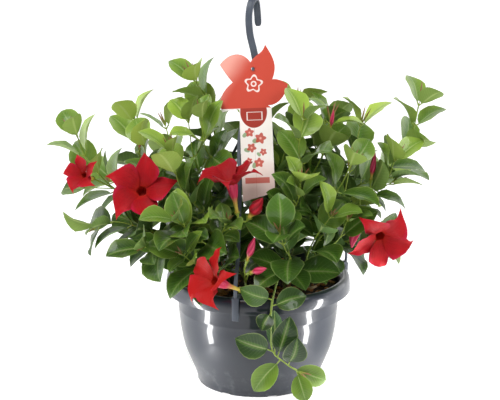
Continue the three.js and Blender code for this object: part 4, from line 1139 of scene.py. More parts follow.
def hanger_finish(colours):
    """Moulded plastic, grey and faintly cloudy, with specks of dust."""
    f = Finish("grey_hanger_plastic", Specular_IOR_Level=0.45)
    cloud = f.noise(90, 3)
    base = cloud.tint(colours.hanger_dark, colours.hanger)
    base = (f.noise(420, 4, 0.7).step(0.62, 0.8) * 0.2).tint(base, colours.dust)
    return f.done(base, cloud * 0.15 + 0.34, f.noise(1600, 2), depth=0.0001, strength=0.4)


def soil_finish(colours):
    """Dark peat: crumbs of several sizes, with pale specks of grit and brown fibres."""
    f = Finish("dark_peat", Specular_IOR_Level=0.2)
    crumbs = f.cells(260)
    coarse = f.noise(130, 5, 0.65)
    base = (coarse * 0.7 + crumbs * 0.4).tint(colours.soil_dark, colours.soil)
    fibre = f.noise(420, 4, 0.6, stretch=(1, 0.3, 1)).step(0.58, 0.72)
    base = (fibre * 0.5).tint(base, colours.bark)
    grit = f.cells(330).step(0.0, 0.12, 1.0, 0.0) * coarse.step(0.5, 0.62)
    base = (grit * 0.7).tint(base, colours.grit)
    return f.done(base, 0.93, coarse * 0.8 + crumbs * -0.8, depth=0.003)


def bark_finish(colours):
    """Bark with a long grain, each chip of its own tone, and a few pale chips."""
    f = Finish("bark_chips", Specular_IOR_Level=0.25)
    grain = f.noise(360, 5, 0.6, stretch=(1, 0.35, 0.6))
    tone = f.number("tone")
    base = (grain * 0.5 + tone * 0.5).tint(colours.bark_dark, colours.bark)
    base = (tone.step(0.9, 0.97) * 0.8).tint(base, colours.grit)
    return f.done(base, 0.85, grain, depth=0.001)


# The print on the tag, in millimetres right of its hole and up from it.
TAG_NECK = -52  # where the head ends and the strip begins
EMBLEM = (0, -20)
LOBE_MIDDLE = (-1.5, -57)
LOBE_SIZE = (17.5, 21)
LABEL_MIDDLE = (-0.5, -62.5)
BAND_LEVEL = -147
BAND_SIZE = (15.8, 3.8)
ROSETTES = (  # the middle and the radius of each
    (-8, -84, 5.2), (6, -92, 6.4), (-6, -104, 5.4), (9, -110, 4.2), (-10, -121, 3.8), (3, -124, 5.6),
)


def card_finish(colours):
    """Coated card, printed: a red flower-shaped head with a painted glare, which is a painted
    highlight, and a plain flower drawn in it, and below it a white strip with small red rosettes on a
    pale pink wash."""
    f = Finish("printed_card", Specular_IOR_Level=0.35, Coat_Weight=0.12, Coat_Roughness=0.25)
    x = f.number("card_x")
    y = f.number("card_y")

    def away(dx, dy):
        return (dx * dx + dy * dy).root()

    def rosette(cx, cy, radius, lobes, turn):
        """1 inside a flower shape whose edge is in and out by a fifth, lobes times around."""
        dx = x - cx
        dy = y - cy
        edge = ((dy.angle_from(dx) * lobes + turn).sine() * 0.2 + 1.0) * radius
        return (away(dx, dy) - edge).step(-0.5, 0.3, 1.0, 0.0)

    def ring(cx, cy, radius, half):
        """1 on a circle's line, which reaches half to either side of its radius."""
        return (away(x - cx, y - cy) - radius).size().step(half - 0.3, half + 0.3, 1.0, 0.0)

    def within(number, half, soft):
        """1 where a number is less than half away from 0."""
        return number.size().step(half - soft, half + soft, 1.0, 0.0)

    # Painted highlight: a pale glare across the head, strongest towards its upper left.
    glare = (x * -0.045 + y * 0.035 + f.noise(30, 2) * 0.6).step(0.35, 2.3)
    head = (glare * 0.75).tint(colours.card_red, colours.card_pale_print_and_glare)
    head = (rosette(*EMBLEM, 10.5, 5, 0.6) * 0.8).tint(head, colours.card_white)
    head = rosette(*EMBLEM, 8.2, 5, 0.6).tint(head, colours.card_red)
    head = (ring(*EMBLEM, 3.0, 0.9) * 0.8).tint(head, colours.card_white)

    wash = (f.noise(55, 3) * 0.5 + y.step(-170, -90, 0.6, 0.0)).step(0.3, 0.9)
    strip = (wash * 0.5).tint(colours.card_white, colours.card_blush)
    for index, (cx, cy, radius) in enumerate(ROSETTES):
        leaves = rosette(cx - 6, cy - 3, radius * 0.62, 2, 1.1 * index)
        strip = (leaves * 0.75).tint(strip, colours.card_leaf)
        strip = (rosette(cx, cy, radius, 5, 1.3 * index) * 0.92).tint(strip, colours.card_red)
        strip = rosette(cx, cy, radius * 0.25, 5, 0).tint(strip, colours.card_pale_print_and_glare)
    band = within(y - BAND_LEVEL, BAND_SIZE[1], 0.2) * within(x, BAND_SIZE[0], 0.2)
    strip = (band * 0.85).tint(strip, colours.card_red)
    height = (y - LOBE_MIDDLE[1]) * (1 / LOBE_SIZE[1])
    lobe_width = (height * height * -1.0 + 1.0).at_least(0.0).root() * LOBE_SIZE[0]
    lobe = ((x - LOBE_MIDDLE[0]).size() - lobe_width).step(-0.4, 0.4, 1.0, 0.0)
    label = ((x - LABEL_MIDDLE[0]).size() * 0.62).at_least((y - LABEL_MIDDLE[1]).size() * 1.15)
    label = (label - 6.0).size().step(0.25, 0.6, 1.0, 0.0)
    printed = (label * 0.8).tint(colours.card_red_deep, colours.card_white)
    strip = lobe.tint(strip, printed)
    base = y.step(TAG_NECK - 0.4, TAG_NECK + 0.4, 1.0, 0.0).tint(head, strip)
    return f.done(base, 0.3, f.noise(60, 2), depth=0.0006, strength=0.3)


# ---- Leafy stems


BLADE_ROWS = np.array([0, 0.06, 0.16, 0.3, 0.46, 0.62, 0.77, 0.9, 0.97, 1])
LEAF_COLUMNS = 4
LEAF_DRAWS = 8
STALK_ROWS = np.array([0.05, 0.5, 0.93])
STALK_RADII = np.array([1.15, 0.85, 0.95])
STEM_SLIMNESS = 0.62  # a stem's radius for the solid's
SWELLING = 2.6  # how far a stem's swelling at a leaf reaches
TIP_SCALES = 3
TIP_STEPS = np.linspace(0, 1, 6)
LEAF_KINDS = np.repeat([0, 1], LEAF_COLUMNS)  # the materials of its upper and lower side
STEM_KIND = 2
SCALE_KIND = 3


def draw_table(seed, rows, columns):
    draw = seeded_draws(seed)
    return np.array([[draw() for _ in range(columns)] for _ in range(rows)])


def part_way(values, start, end):
    """0 up to start, 1 from end on, and in even proportion between."""
    return np.clip((values - start) / (end - start), 0, 1)


def blade_ring(columns):
    """How far across each corner of a blade's ring is, from -1 on the left over the upper side to
    1, and back along the lower side, and which side it is on."""
    upper = np.linspace(-1, 1, columns + 1)
    sides = np.repeat([1.0, -1.0], [columns + 1, columns - 1])
    return np.concatenate([upper, upper[-2:0:-1]]), sides


def leaf_rings(leaves, draws, sizes):
    """Leaves as closed tubes.

    A short round stalk opens into the blade. The blade's half width is the sine of pi times u to the
    0.97, to a power that grows from 0.56 at the base to 0.82 at the tip, which ends in a short point.
    Its halves rise from the midrib, its margin waves, and along it arches over the straight line
    from base to tip, bows to one side, and twists a little about it.
    """
    s, face = blade_ring(LEAF_COLUMNS)
    foot, tip, hint = (np.array([leaf[key] for leaf in leaves]) for key in ("foot", "tip", "face"))
    width = np.array([leaf["width"] for leaf in leaves])[:, None, None]
    step = tip - foot
    whole = np.linalg.norm(step, axis=1)
    ahead = step / whole[:, None]
    base_part = np.maximum(LEAST_STALK / whole, LEAF_STALK)
    base = foot + step * base_part[:, None]
    length = (whole * (1 - base_part))[:, None, None]
    normal = across(ahead, hint)
    side = np.cross(ahead, normal)
    draw = draws.T[:, :, None, None]

    u = BLADE_ROWS[:, None]
    outline = np.sin(np.pi * np.minimum(u, 1 - 1e-9) ** 0.97) ** (0.56 + 0.26 * u**3)
    half = (0.49 + 0.06 * draw[6]) * width * outline
    x = np.maximum(half, 0.35 - 0.25 * u) * s
    lift = (sizes.leaf_fold + 0.14 * (draw[0] - 0.5)) * half * np.abs(s) ** 1.35 * (1 - 0.2 * u)
    wave = np.sin(2 * np.pi * (1.7 * u + draw[1]) + 2.1 * (s > 0)) * np.abs(s) ** 3
    lift = lift + sizes.leaf_wave * (0.5 + draw[2]) * half * wave * np.sin(np.pi * u)
    arch = LEAF_CAMBER * length * 4 * u * (1 - u) * (0.7 + 0.6 * u) * (0.6 + 0.9 * draw[3])
    rib = 0.5 * (1 - u) * np.exp(-((s / 0.3) ** 2)) * (face < 0)
    thick = sizes.leaf_thickness * 1000 / 2 * (1 - s**4) + rib
    z = lift + arch + face * thick
    twist = 0.3 * (draw[4] - 0.5) * (u - 0.2)
    turned_x = x * np.cos(twist) - (z - arch) * np.sin(twist)
    z = (z - arch) * np.cos(twist) + x * np.sin(twist) + arch
    x = turned_x + 0.1 * (draw[5] - 0.5) * length * 4 * u * (1 - u)
    y = u * length

    base, ahead, side, normal = (way[:, None, None] for way in (base, ahead, side, normal))
    blade = base + ahead * y[..., None] + side * x[..., None] + normal * z[..., None]
    around = side * s[:, None] + normal * (face * np.sqrt(1 - s**2))[:, None]
    rows = STALK_ROWS[:, None, None]
    stalk = foot[:, None, None] + step[:, None, None] * base_part[:, None, None, None] * rows
    size = (0.6 + 0.4 * np.minimum(whole / 50, 1))[:, None, None, None]
    stalk = stalk + around * STALK_RADII[:, None, None] * size
    along = np.concatenate([np.full(len(STALK_ROWS), -0.3), BLADE_ROWS])[:, None]
    return np.concatenate([stalk, blade], 1), along, s[None]


def stem_rings(shoot):
    """A round stem along its curve, a little slimmer than the solid, and swollen at its leaves."""
    curve = shoot["curve"]
    places = np.linspace(0, 1, max(8, int(curve.length / 7)))
    joints = np.array([leaf["at"] for leaf in shoot["leaves"]] or [-1])
    swelling = np.exp(-(((places[:, None] - joints) * curve.length / SWELLING) ** 2)).max(1)
    radius = STEM_SLIMNESS * stem_radius(shoot, places) * (1 + 0.35 * swelling)
    radius[-1] *= 0.5
    return swept(curve, places, round_section(radius, 8), shoot["hint"]), places


def growing_tip_rings(shoot, draws):
    """Slender scales at the end of a shoot. Each is a spindle, widest at a third of its length, that
    leans its own way. They are longer on the high shoots."""
    end = shoot["curve"].point(1.0)
    ahead, outward = stem_frame(shoot, 1.0)
    radius = 0.2 + 1.1 * np.sin(np.pi * TIP_STEPS**0.7) ** 0.8
    rings = []
    for scale in range(TIP_SCALES):
        away = outward(120 * scale + 90 * draws[0, 3])
        lean = unit(ahead + (0.18 + 0.25 * draws[0, scale]) * away)
        length = (12 + 9 * draws[0, scale + 3]) * (1.4 if end[2] > 280 else 1)
        side = across(lean, STALK_HINT)
        ring = ways_out(side, np.cross(lean, side), even_turns(6))
        centre = end + lean * (TIP_STEPS * length - 1)[:, None, None]
        rings.append(centre + radius[:, None, None] * ring)
    return np.array(rings)


def calyx_rings(foot, ahead, opening):
    """A cup that opens around the foot of a bloom or bud, its edge cut into five points."""
    first = across(ahead, STALK_HINT)
    angle = even_turns(20)
    out = ways_out(first, np.cross(ahead, first), angle)
    point = np.clip(np.cos(PETALS * angle), 0, 1)
    height = np.array([-4, -2, 0.6, 0, 0])[:, None] + np.array([0, 0, 0, 3.6, 3.4])[:, None] * (
        0.35 + 0.65 * point
    )
    radius = np.array([1.1, 1.8, opening + 0.5, opening + 1.3, opening + 0.6])[:, None, None]
    rings = foot + ahead * height[..., None] + radius * out
    inner = foot + ahead * 0.2 + 0.7 * opening * out
    return np.concatenate([rings, inner[None]])


def leaf_age_and_tone(shoot, draws):
    """How young and how light each leaf of a shoot is, both with seeded draws: younger near its tip and
    high up, and lighter high up and far out, which is painted light, and darker low down, which is
    painted shade. On the trailing stem the lowest leaves are the youngest."""
    at = np.array([leaf["at"] for leaf in shoot["leaves"]])
    tips = np.array([leaf["tip"] for leaf in shoot["leaves"]])
    level = tips[:, 2]
    height = part_way(level, 180, 370)
    high = part_way(level, 235, 325)
    outward = part_way(np.linalg.norm(tips[:, :2], axis=1), 120, 240)
    age = part_way(at, 0.62, 0.98) ** 1.3 * 0.6 + 0.3 * height**2 + 0.1 * outward
    age = age * (0.12 + 1.0 * draws[:, 6]) * (0.25 + 0.75 * high)
    age = np.where(draws[:, 7] > 0.93, np.maximum(age, 0.6), age)
    if shoot["node"] == "stem_trailing":
        age = part_way(-level, -75, -35) * 0.55 - 0.1
    # Tone: seeded variation, plus painted light high up and far out and painted shade low down.
    tone = (0.3 + 0.3 * high) * draws[:, 7] + (0.25 + 0.2 * outward) * height - 0.35 * (level < 150)
    return age[:, None, None], tone[:, None, None]


def add_stalk(surfaces, carried, named):
    """A bloom's or bud's stalk, a little wider at its end, and its calyx."""
    curve = stalk_curve(carried, named)
    places = np.linspace(0, 1, 14)
    section = round_section(1.15 + 0.5 * np.clip((places - 0.8) / 0.2, 0, 1), 8)
    rings = swept(curve, places, section, np.cross(STALK_HINT, curve.ahead(0.5)))
    surfaces.add(rings, kind=STEM_KIND, age=0.9)
    opening = 2.6 if "mouth" in carried else 0.36 * carried["radius"] + 0.3
    calyx = calyx_rings(curve.point(1.0), curve.ahead(1.0), opening)
    surfaces.add(calyx, kind=STEM_KIND, age=0.95)


def make_leafy_stems(laid, named, sizes, materials):
    """Each stem with its side shoots, their leaves and growing tips, and the stalks it carries."""
    leaf_count = 0
    for node in dict.fromkeys(shoot["node"] for shoot in laid):
        surfaces = Surfaces()
        for shoot in (row for row in laid if row["node"] == node):
            rings, places = stem_rings(shoot)
            start = 0.5 if "of" in shoot else 0.0
            surfaces.add(rings, kind=STEM_KIND, age=(start + (1 - start) * places)[:, None])
            if not shoot["leaves"]:
                continue
            draws = draw_table(31 * leaf_count + 17, len(shoot["leaves"]), LEAF_DRAWS)
            leaf_count += len(shoot["leaves"])
            rings, along, side = leaf_rings(shoot["leaves"], draws, sizes)
            age, tone = leaf_age_and_tone(shoot, draws)
            surfaces.add(
                rings, kind=LEAF_KINDS, is_blade=True, along=along, across=side, age=age, tone=tone,
            )
            rings = growing_tip_rings(shoot, draws)
            surfaces.add(rings, kind=SCALE_KIND, along=TIP_STEPS[:, None])
        for carried in BLOOMS + BUDS:
            if named[carried["stem"]]["node"] == node:
                add_stalk(surfaces, carried, named)
        surfaces.piece("leafy_" + node, materials, "foliage", node)


# ---- Blooms and buds


PETAL_ROWS = np.array([0, 0.07, 0.16, 0.27, 0.39, 0.51, 0.63, 0.74, 0.84, 0.92, 0.975, 1])
PETAL_COLUMNS = 8
PETAL_KNOTS = (0, 0.2, 0.43, 0.6, 0.74, 0.87, 1)
STRAIGHT_EDGE = (4.8, 12.2, 15.6, 13.2, 11.6, 11.4, 12.0)  # its distance to the side at each knot
BULGING_EDGE = (-5.8, -15.8, -19.4, -14.4, -5.6, 4.4, 11.4)
PETAL_RISE = (-1, 6.4, 11.0, 12.6, 12.8, 11.0, 7.6)
BUD_TURNS = 1.5  # how often a bud's lobes wind round it


def petal_rings(bloom, draws):
    """Five petals as closed tubes.

    Out from the throat, one edge of a petal runs nearly straight to the tip and the other one
    bulges over its neighbour, each through a few widths. A petal rises, levels out and rolls back
    at its tip. Across, the straight edge dips, the bulging edge lifts, and both are ruffled.
    """
    s, face = blade_ring(PETAL_COLUMNS)
    foot, axis, length, upward, sideways = bloom_axes(bloom)
    out = ways_out(sideways, upward, np.radians(bloom["roll"] + 360 / PETALS * np.arange(PETALS)))
    around = np.cross(axis, out)
    straight, bulging, rise = (
        through(PETAL_ROWS, PETAL_KNOTS, values)[:, None]
        for values in (STRAIGHT_EDGE, BULGING_EDGE, PETAL_RISE)
    )
    u = PETAL_ROWS[:, None]
    middle = (straight + bulging) / 2 + 0.18 * (straight - bulging) * np.sin(np.pi * u)
    left = -s
    side = middle + np.where(left > 0, (straight - middle) * left, (middle - bulging) * left)
    draw = draws.T[:, :, None, None]
    rise = rise + 2.4 * (draw[0] - 0.5) * u
    dip = np.where(side > 0, -0.15 * side, 0.28 * np.abs(side) ** 1.12)
    ruffle = 2.6 * np.sin(2 * np.pi * (2.2 * u + draw[1]) + 1.9 * (left > 0))
    ruffle = ruffle * np.abs(s) ** 3 * np.sin(np.pi * u)
    hollow = (1 - s**2) * (2.2 * draw[2] - 1.4) - 1.5 * np.exp(-((s / 0.3) ** 2)) + 1.6 * s**4
    hollow = hollow * np.sin(np.pi * u)
    thick = BLADE / 2 * (1 - s**4) * (1 - 0.4 * u)
    height = rise + dip + ruffle + hollow + face * thick
    roll_back = 3.4 * np.maximum(u - 0.72, 0) ** 2 * (0.4 + draw[3])
    reach = PETAL_START + (PETAL_REACH - PETAL_START) * (u - roll_back * 0.1)
    height = height - 14 * roll_back + bloom["cup"] * (reach - PETAL_START)
    full = np.ones_like(height)
    rings = foot + axis * length + bloom["spread"] * (
        out[:, None, None] * (reach * full)[..., None]
        + around[:, None, None] * (side * full)[..., None]
        + axis * height[..., None]
    )
    return rings, u, s[None]


def funnel_rings(bloom):
    """A bloom's tube, slim below and wide above, with its inner wall back down into the throat."""
    foot, axis, length, upward, sideways = bloom_axes(bloom)
    rim = THROAT_RADIUS * bloom["spread"]
    outer = np.array([0.006, 0.08, 0.2, 0.32, 0.42, 0.5, 0.6, 0.72, 0.86, 0.96, 1.0])
    wide = (2.1, 2.5, 3.1, 0.7 * rim, 0.9 * rim, rim)
    radius = through(outer, (0, 0.3, 0.44, 0.6, 0.8, 1), wide)
    inner = np.array([0.99, 0.9, 0.76, 0.64])
    wall = through(inner[::-1], (0.6, 0.8, 1), (0.4 * rim, 0.74 * rim, rim - 1))[::-1]
    along = np.concatenate([outer, inner])
    radii = np.concatenate([radius, wall])
    angle = even_turns(30)
    flute = 1 + 0.05 * np.cos(PETALS * (angle - math.radians(bloom["roll"])))
    way = ways_out(sideways, upward, angle)
    rings = foot + axis * (along * length)[:, None, None] + (radii[:, None] * flute)[..., None] * way
    return rings[:, ::-1], along, angle, len(outer)


def make_blooms(materials):
    """Each bloom's petals and tube. The lowest is warmer, and one that faces up is darker, which is
    painted shade.
    """
    for number, bloom in enumerate(BLOOMS):
        surfaces = Surfaces()
        rings, along, side = petal_rings(bloom, draw_table(57 + 13 * number, PETALS, 4))
        warmth = np.clip((230 - bloom["mouth"][2]) / 50, 0, 1)
        # Painted shade, stronger the more a bloom faces up.
        shade = np.clip(2.5 * bloom_axes(bloom)[1][2] - 1.5, 0, 1)
        surfaces.add(rings, is_blade=True, along=along, across=side, warmth=warmth, shade=shade)
        rings, along, angle, outer = funnel_rings(bloom)
        step = np.arange(len(along))
        kind = np.where(step[:-1] < outer - 1, 1, 0)[:, None]
        level = np.where(step < outer, along, -0.2)
        surfaces.add(rings, kind=kind, along=level[:, None], across=(angle / (2 * np.pi))[None])
        name = bloom["name"].replace("bloom", "open_bloom")
        surfaces.piece(name, materials, "red_petal", bloom["name"])


def bud_rings(bud):
    """A bud as a spindle whose five lobes wind round it: the radius rises and falls five times
    around, turned with the height."""
    foot, axis, length = axis_of(bud, "tip")
    first = across(axis, BUD_HINT)
    along = np.linspace(0.005, 1, 26)
    shape = np.maximum(through(along, *zip(*BUD_SHAPE)), BUD_SHAPE[-1][1]) * bud["radius"]
    angle = even_turns(40)
    wind = PETALS * angle - 2 * np.pi * BUD_TURNS * along[:, None]
    crest = 1 - np.abs(np.mod(wind / (2 * np.pi), 1) - 0.35) * 1.5
    crest = np.clip(crest, 0, 1) * np.clip((along - 0.2) / 0.2, 0, 1)[:, None]
    radius = shape[:, None] * (0.93 + 0.13 * crest)
    out = ways_out(first, np.cross(axis, first), angle)
    return foot + axis * (along * length)[:, None, None] + radius[..., None] * out, along, crest


def make_buds(red, pink):
    for bud in BUDS:
        rings, along, crest = bud_rings(bud)
        surfaces = Surfaces()
        surfaces.add(rings, along=along[:, None], across=crest)
        material, slot = (pink, "pink_bud") if bud["pink"] else (red, "red_petal")
        surfaces.piece(bud["name"].replace("bud", "furled_bud"), [material], slot, bud["name"])


# ---- Pot, soil and hanger


# The pot's profile as radii and heights, from the middle of the floor's underside, up the outside,
# over the rim, and down the inside.
POT_FOOT = ((10, 0.8), (66, 0.8), (70, 0), (81.4, 0), (82.3, 0.3))
WALL_HEIGHTS = (
    0.9, 4, 8, 14, 20, 26, 33, 41, 50, 60, 71, 82, 93, 102.4, 103.4, 104.6, 105.6, 116, 127, 138,
)
WALL_KNOTS = (0, 8, 26, 48, 82, 138)
WALL_RADII = (BASE_RADIUS, 83.8, 90.6, 99.3, 106, WALL_TOP_RADIUS)
WALL_LINE = slice(14, 16)  # the two heights where a fine raised line goes round
POT_RIM = (
    (110.9, 142.5), (113, 145.1), (116, 145.6), (120.6, 145.2), (122, 143), (123.2, 136),
    (123.5, SKIRT_BOTTOM + 0.6), (124, SKIRT_BOTTOM), (124.9, SKIRT_BOTTOM),
    (125.3, SKIRT_BOTTOM + 0.7), (124.9, 137), (124.2, 142.5), (123, RIM_TOP - 2.5),
    (121, RIM_TOP - 0.4), (118.4, RIM_TOP + 0.1), (116, RIM_TOP - 0.3), (113.6, RIM_TOP - 2),
    (111.2, 143.6),
)
POT_INSIDE = (
    (108.1, 137), (104, 82), (97.2, 48), (88.4, 26), (81.6, 6), (80.4, 3.6), (79.6, FLOOR), (10, FLOOR),
)


def make_pot(material):
    """The pot's profile turned about its axis, with its foot raised a little at each notch."""
    wall = through(np.array(WALL_HEIGHTS), WALL_KNOTS, WALL_RADII)
    wall[WALL_LINE] += 0.25
    profile = np.array([*POT_FOOT, *zip(wall, WALL_HEIGHTS), *POT_RIM, *POT_INSIDE])
    sides = 176
    turns = even_turns(sides) / (2 * np.pi)
    notch = np.abs(np.mod(turns * FOOT_NOTCHES - 0.3 + 0.5, 1) - 0.5) < 0.1
    heights = profile[:, 1:] * np.ones(sides)
    heights[2:5] = np.maximum(heights[2:5], 1.4 * notch)
    heights[5] = np.maximum(heights[5], 1.6 * notch)
    surfaces = Surfaces()
    surfaces.add(turned_rings(profile[:, 0], heights, sides))
    surfaces.piece("moulded_pot", [material], "pot_plastic", "pot", sharp=40)


# The root ball's profile, from the middle of its underside to the middle of its top.
SOIL_RADII = (
    10, 79.2, 86.8, 95.4, 105.4, 106.6, 105.6, 103, 99, 94, 88, 82, 76, 70, 63, 56, 48, 40, 32, 24,
    16, 8, 2,
)
SOIL_SIDE_LEVELS = (3.3, 3.3, 26, 48, 128, 132, 134.2)
SOIL_EDGE = 5  # the step of the profile where the lumpy top begins
CHIPS = 230
CHIP_STEPS = np.array([-1, -0.9, 0, 0.85, 1])[:, None]  # along a chip
CHIP_SLIMNESS = np.array([0.55, 0.9, 1, 0.85, 0.5])[:, None]


def soil_relief(x, y):
    """Two long waves and a short one, the same as on the solid, with finer crumbs on top."""
    relief = 1.5 * np.sin(0.13 * x + 0.5) * np.cos(0.11 * y - 0.8) + 0.9 * np.sin(0.31 * x + 0.27 * y)
    crumbs = np.sin(0.9 * x + 1.7 * np.sin(0.41 * y)) * np.sin(0.83 * y + 1.3 * np.sin(0.37 * x))
    return relief + 0.7 * crumbs + 0.4 * np.sin(1.9 * x + 0.6 * y) * np.sin(1.6 * y - 0.7 * x)


def root_power(values):
    """The square root of each value's size, with its sign."""
    return np.sign(values) * np.abs(values) ** 0.5


def chip_rings():
    """Chips of bark, which are boxes with rounded corners and jagged sides, scattered over the soil
    by seeded draws."""
    angle, distance, long, wide, thick, roll, pitch, yaw, tone = draw_table(41, CHIPS, 9).T
    distance = 20 + 84 * np.sqrt(distance)
    x = distance * np.cos(2 * np.pi * angle)
    y = distance * np.sin(2 * np.pi * angle)
    z = SOIL_TOP + soil_relief(x, y) + 0.6 + 1.2 * thick
    turn = np.pi * yaw
    long_way = unit(np.stack([np.cos(turn), np.sin(turn), 0.7 * (pitch - 0.5)], 1))
    wide_way = across(long_way, np.stack([-np.sin(turn), np.cos(turn), 0.7 * (roll - 0.5)], 1))
    thick_way = np.cross(long_way, wide_way)
    half_long, half_wide, half_thick, tones = (
        part[:, None, None]
        for part in (2.2 + 7.5 * long**2.2, 1.5 + 3 * wide**1.5, 0.9 + 1.3 * thick, tone)
    )
    corner = 2 * np.pi * (np.arange(8) + 0.5) / 8
    ring_y = root_power(np.cos(corner))
    ring_z = root_power(np.sin(corner))
    jag = 1 + 0.25 * np.sin(7 * CHIP_STEPS + 3 * ring_y + 11 * tones)
    rings = (
        np.stack([x, y, z], 1)[:, None, None]
        + long_way[:, None, None] * (half_long * CHIP_STEPS * np.ones(8))[..., None]
        + wide_way[:, None, None] * (half_wide * CHIP_SLIMNESS * ring_y * jag)[..., None]
        + thick_way[:, None, None] * (half_thick * CHIP_SLIMNESS * ring_z)[..., None]
    )
    return rings, tones


def make_soil(materials):
    """The root ball with a lumpy top, under chips of bark."""
    levels = [*SOIL_SIDE_LEVELS, *[SOIL_TOP] * (len(SOIL_RADII) - len(SOIL_SIDE_LEVELS))]
    rings = turned_rings(SOIL_RADII, levels, 120)
    top = rings[SOIL_EDGE:]
    fade = np.linspace(0.3, 1, len(top))[:, None] ** 0.4
    top[..., 2] += soil_relief(top[..., 0], top[..., 1]) * fade
    surfaces = Surfaces()
    surfaces.add(rings)
    rings, tone = chip_rings()
    surfaces.add(rings, kind=1, tone=tone)
    surfaces.piece("potting_soil", materials, "soil", "soil")


# A clip's outline as radii and heights, from the foot of its outer leg, over the rim and back.
CLIP = (
    (125.9, 121.3), (126.4, 121), (127.8, 121), (128.4, 121.5), (129.6, 150.9), (129.2, 151.6),
    (126.4, 152.8), (125.6, 153), (111, 153), (110, 152.6), (109.1, 151.4), (109, 144), (109.4, 143.5),
    (110.6, 143.5), (111, 144), (111.4, 149.6), (111.8, 150), (125.2, 150), (125.7, 149.6),
)
CLIP_SLICES = ((-0.5, 0.45), (-0.44, 0.0), (0.44, 0.0), (0.5, 0.45))  # place across, and inset
HUB_PROFILE = ((1.2, -6), (0.3, -5.7), (0, -5), (0, 5), (0.3, 5.7), (1.2, 6))  # inset, and height
PEG_PROFILE = ((1.6, -1), (1.6, -15), (1.9, -15.2), (1.9, -15.8), (1.3, -16))  # radius, and y


def ribbed_section(width, height):
    """A flat bar with rounded corners and a low rib along the middle of both faces."""
    half = np.array([
        (0.5, 0), (0.5, 0.24), (0.42, 0.38), (0.2, 0.4), (0.16, 0.5), (-0.16, 0.5), (-0.2, 0.4),
        (-0.42, 0.38), (-0.5, 0.24),
    ])
    return np.concatenate([half, -half]) * (width, height)


def clip_rings(strap):
    """A strap's clip: its outline at a few places across it, smaller at both faces."""
    outline = np.array(CLIP)
    inward = unit(outline.mean(0) - outline)
    sideways = strap_sideways(strap)
    out = np.cross(sideways, UP)
    slices = []
    for place, inset in CLIP_SLICES:
        shape = outline + inward * inset
        slices.append(out * shape[:, :1] + UP * shape[:, 1:] + sideways * place * CLIP_WIDTH)
    return np.array(slices)[::-1]


def make_hanger(material):
    """The hook with its hub and peg, and three straps, each a bar carried along its curve, with a
    clip over the pot's rim."""
    surfaces = Surfaces()
    slim = np.ones(90)
    slim[:2] = (0.8, 0.95)
    slim[-3:] = (0.97, 0.85, 0.6)
    bar = ribbed_section(9.2, 6.2) * slim[:, None, None]
    surfaces.add(swept(Curve(HOOK_LINE), np.linspace(0, 1, len(slim)), bar, (1, 0, 0)))
    inset, height = np.array(HUB_PROFILE).T
    surfaces.add(turned_rings(HUB_RADIUS - inset, HUB[2] + height, 36))
    angle = even_turns(20)
    surfaces.add([
        np.stack([TAG_HOLE[0] + r * np.cos(angle), y + 0 * angle, PEG_HEIGHT - r * np.sin(angle)], 1)
        for r, y in PEG_PROFILE
    ])
    surfaces.piece("ribbed_hook", [material], "hanger_plastic", "hanger_hook", sharp=35)
    section = ribbed_section(STRAP_WIDTH, STRAP_THICKNESS)
    for strap in STRAPS:
        surfaces = Surfaces()
        places = np.linspace(0, 1, 60)
        surfaces.add(swept(strap_curve(strap), places, section, strap_sideways(strap)))
        surfaces.add(clip_rings(strap))
        name = strap["name"].replace("hanger", "ribbed")
        surfaces.piece(name, [material], "hanger_plastic", strap["name"], sharp=35)


# The card's outline in its own plane, as cubic arcs: a start, two handles and an end.
CARD_OUTLINE = (
    ((-3, 8.6), (4, 20), (13, 18), (17, 31.5)),
    ((17, 31.5), (24, 18), (34, 6), (24.5, -15)),
    ((24.5, -15), (32, -14), (38, -18), (44.5, -22)),
    ((44.5, -22), (40, -42), (26, -52), (14, -48)),
    ((22, -52), (22, -92), (22, -132), (22, -174)),
    ((-20, -174), (-20, -132), (-20, -92), (-20, -53)),
    ((-20, -53), (-27, -52), (-34, -54), (-42, -56)),
    ((-42, -56), (-48, -42), (-42, -28), (-27, -17)),
    ((-27, -17), (-33, -10), (-38, -2), (-43, 7)),
    ((-43, 7), (-30, 24), (-12, 24), (-3, 8.6)),
)
CARD_HOLE_RADIUS = 2.4
CARD_BEVEL = 0.1


def cubic_arc(t, points):
    """The cubic arc from the first point to the last, drawn towards the two between."""
    a, b, c, d = np.array(points, float)
    return (1 - t) ** 3 * a + 3 * t * (1 - t) ** 2 * b + 3 * t**2 * (1 - t) * c + t**3 * d


def card_mesh():
    """The card in its own plane: a flat curve with a round hole, given its thickness and a fine
    bevel, and made a mesh."""
    t = np.linspace(0, 1, 12, endpoint=False)[:, None]
    edge = np.concatenate([cubic_arc(t, points) for points in CARD_OUTLINE])
    curve = bpy.data.curves.new("card_outline", "CURVE")
    curve.dimensions = "2D"
    curve.fill_mode = "BOTH"
    curve.extrude = CARD / 2 - CARD_BEVEL
    curve.bevel_depth = CARD_BEVEL
    curve.bevel_resolution = 1
    for outline in (edge, round_section(CARD_HOLE_RADIUS, 24)):
        spline = curve.splines.new("POLY")
        spline.points.add(len(outline) - 1)
        level = np.tile([0.0, 1.0], (len(outline), 1))
        spline.points.foreach_set("co", np.hstack([outline, level]).ravel())
        spline.use_cyclic_u = True
    holder = bpy.data.objects.new("card_outline", curve)
    mesh = bpy.data.meshes.new_from_object(holder)
    bpy.data.objects.remove(holder)
    return mesh


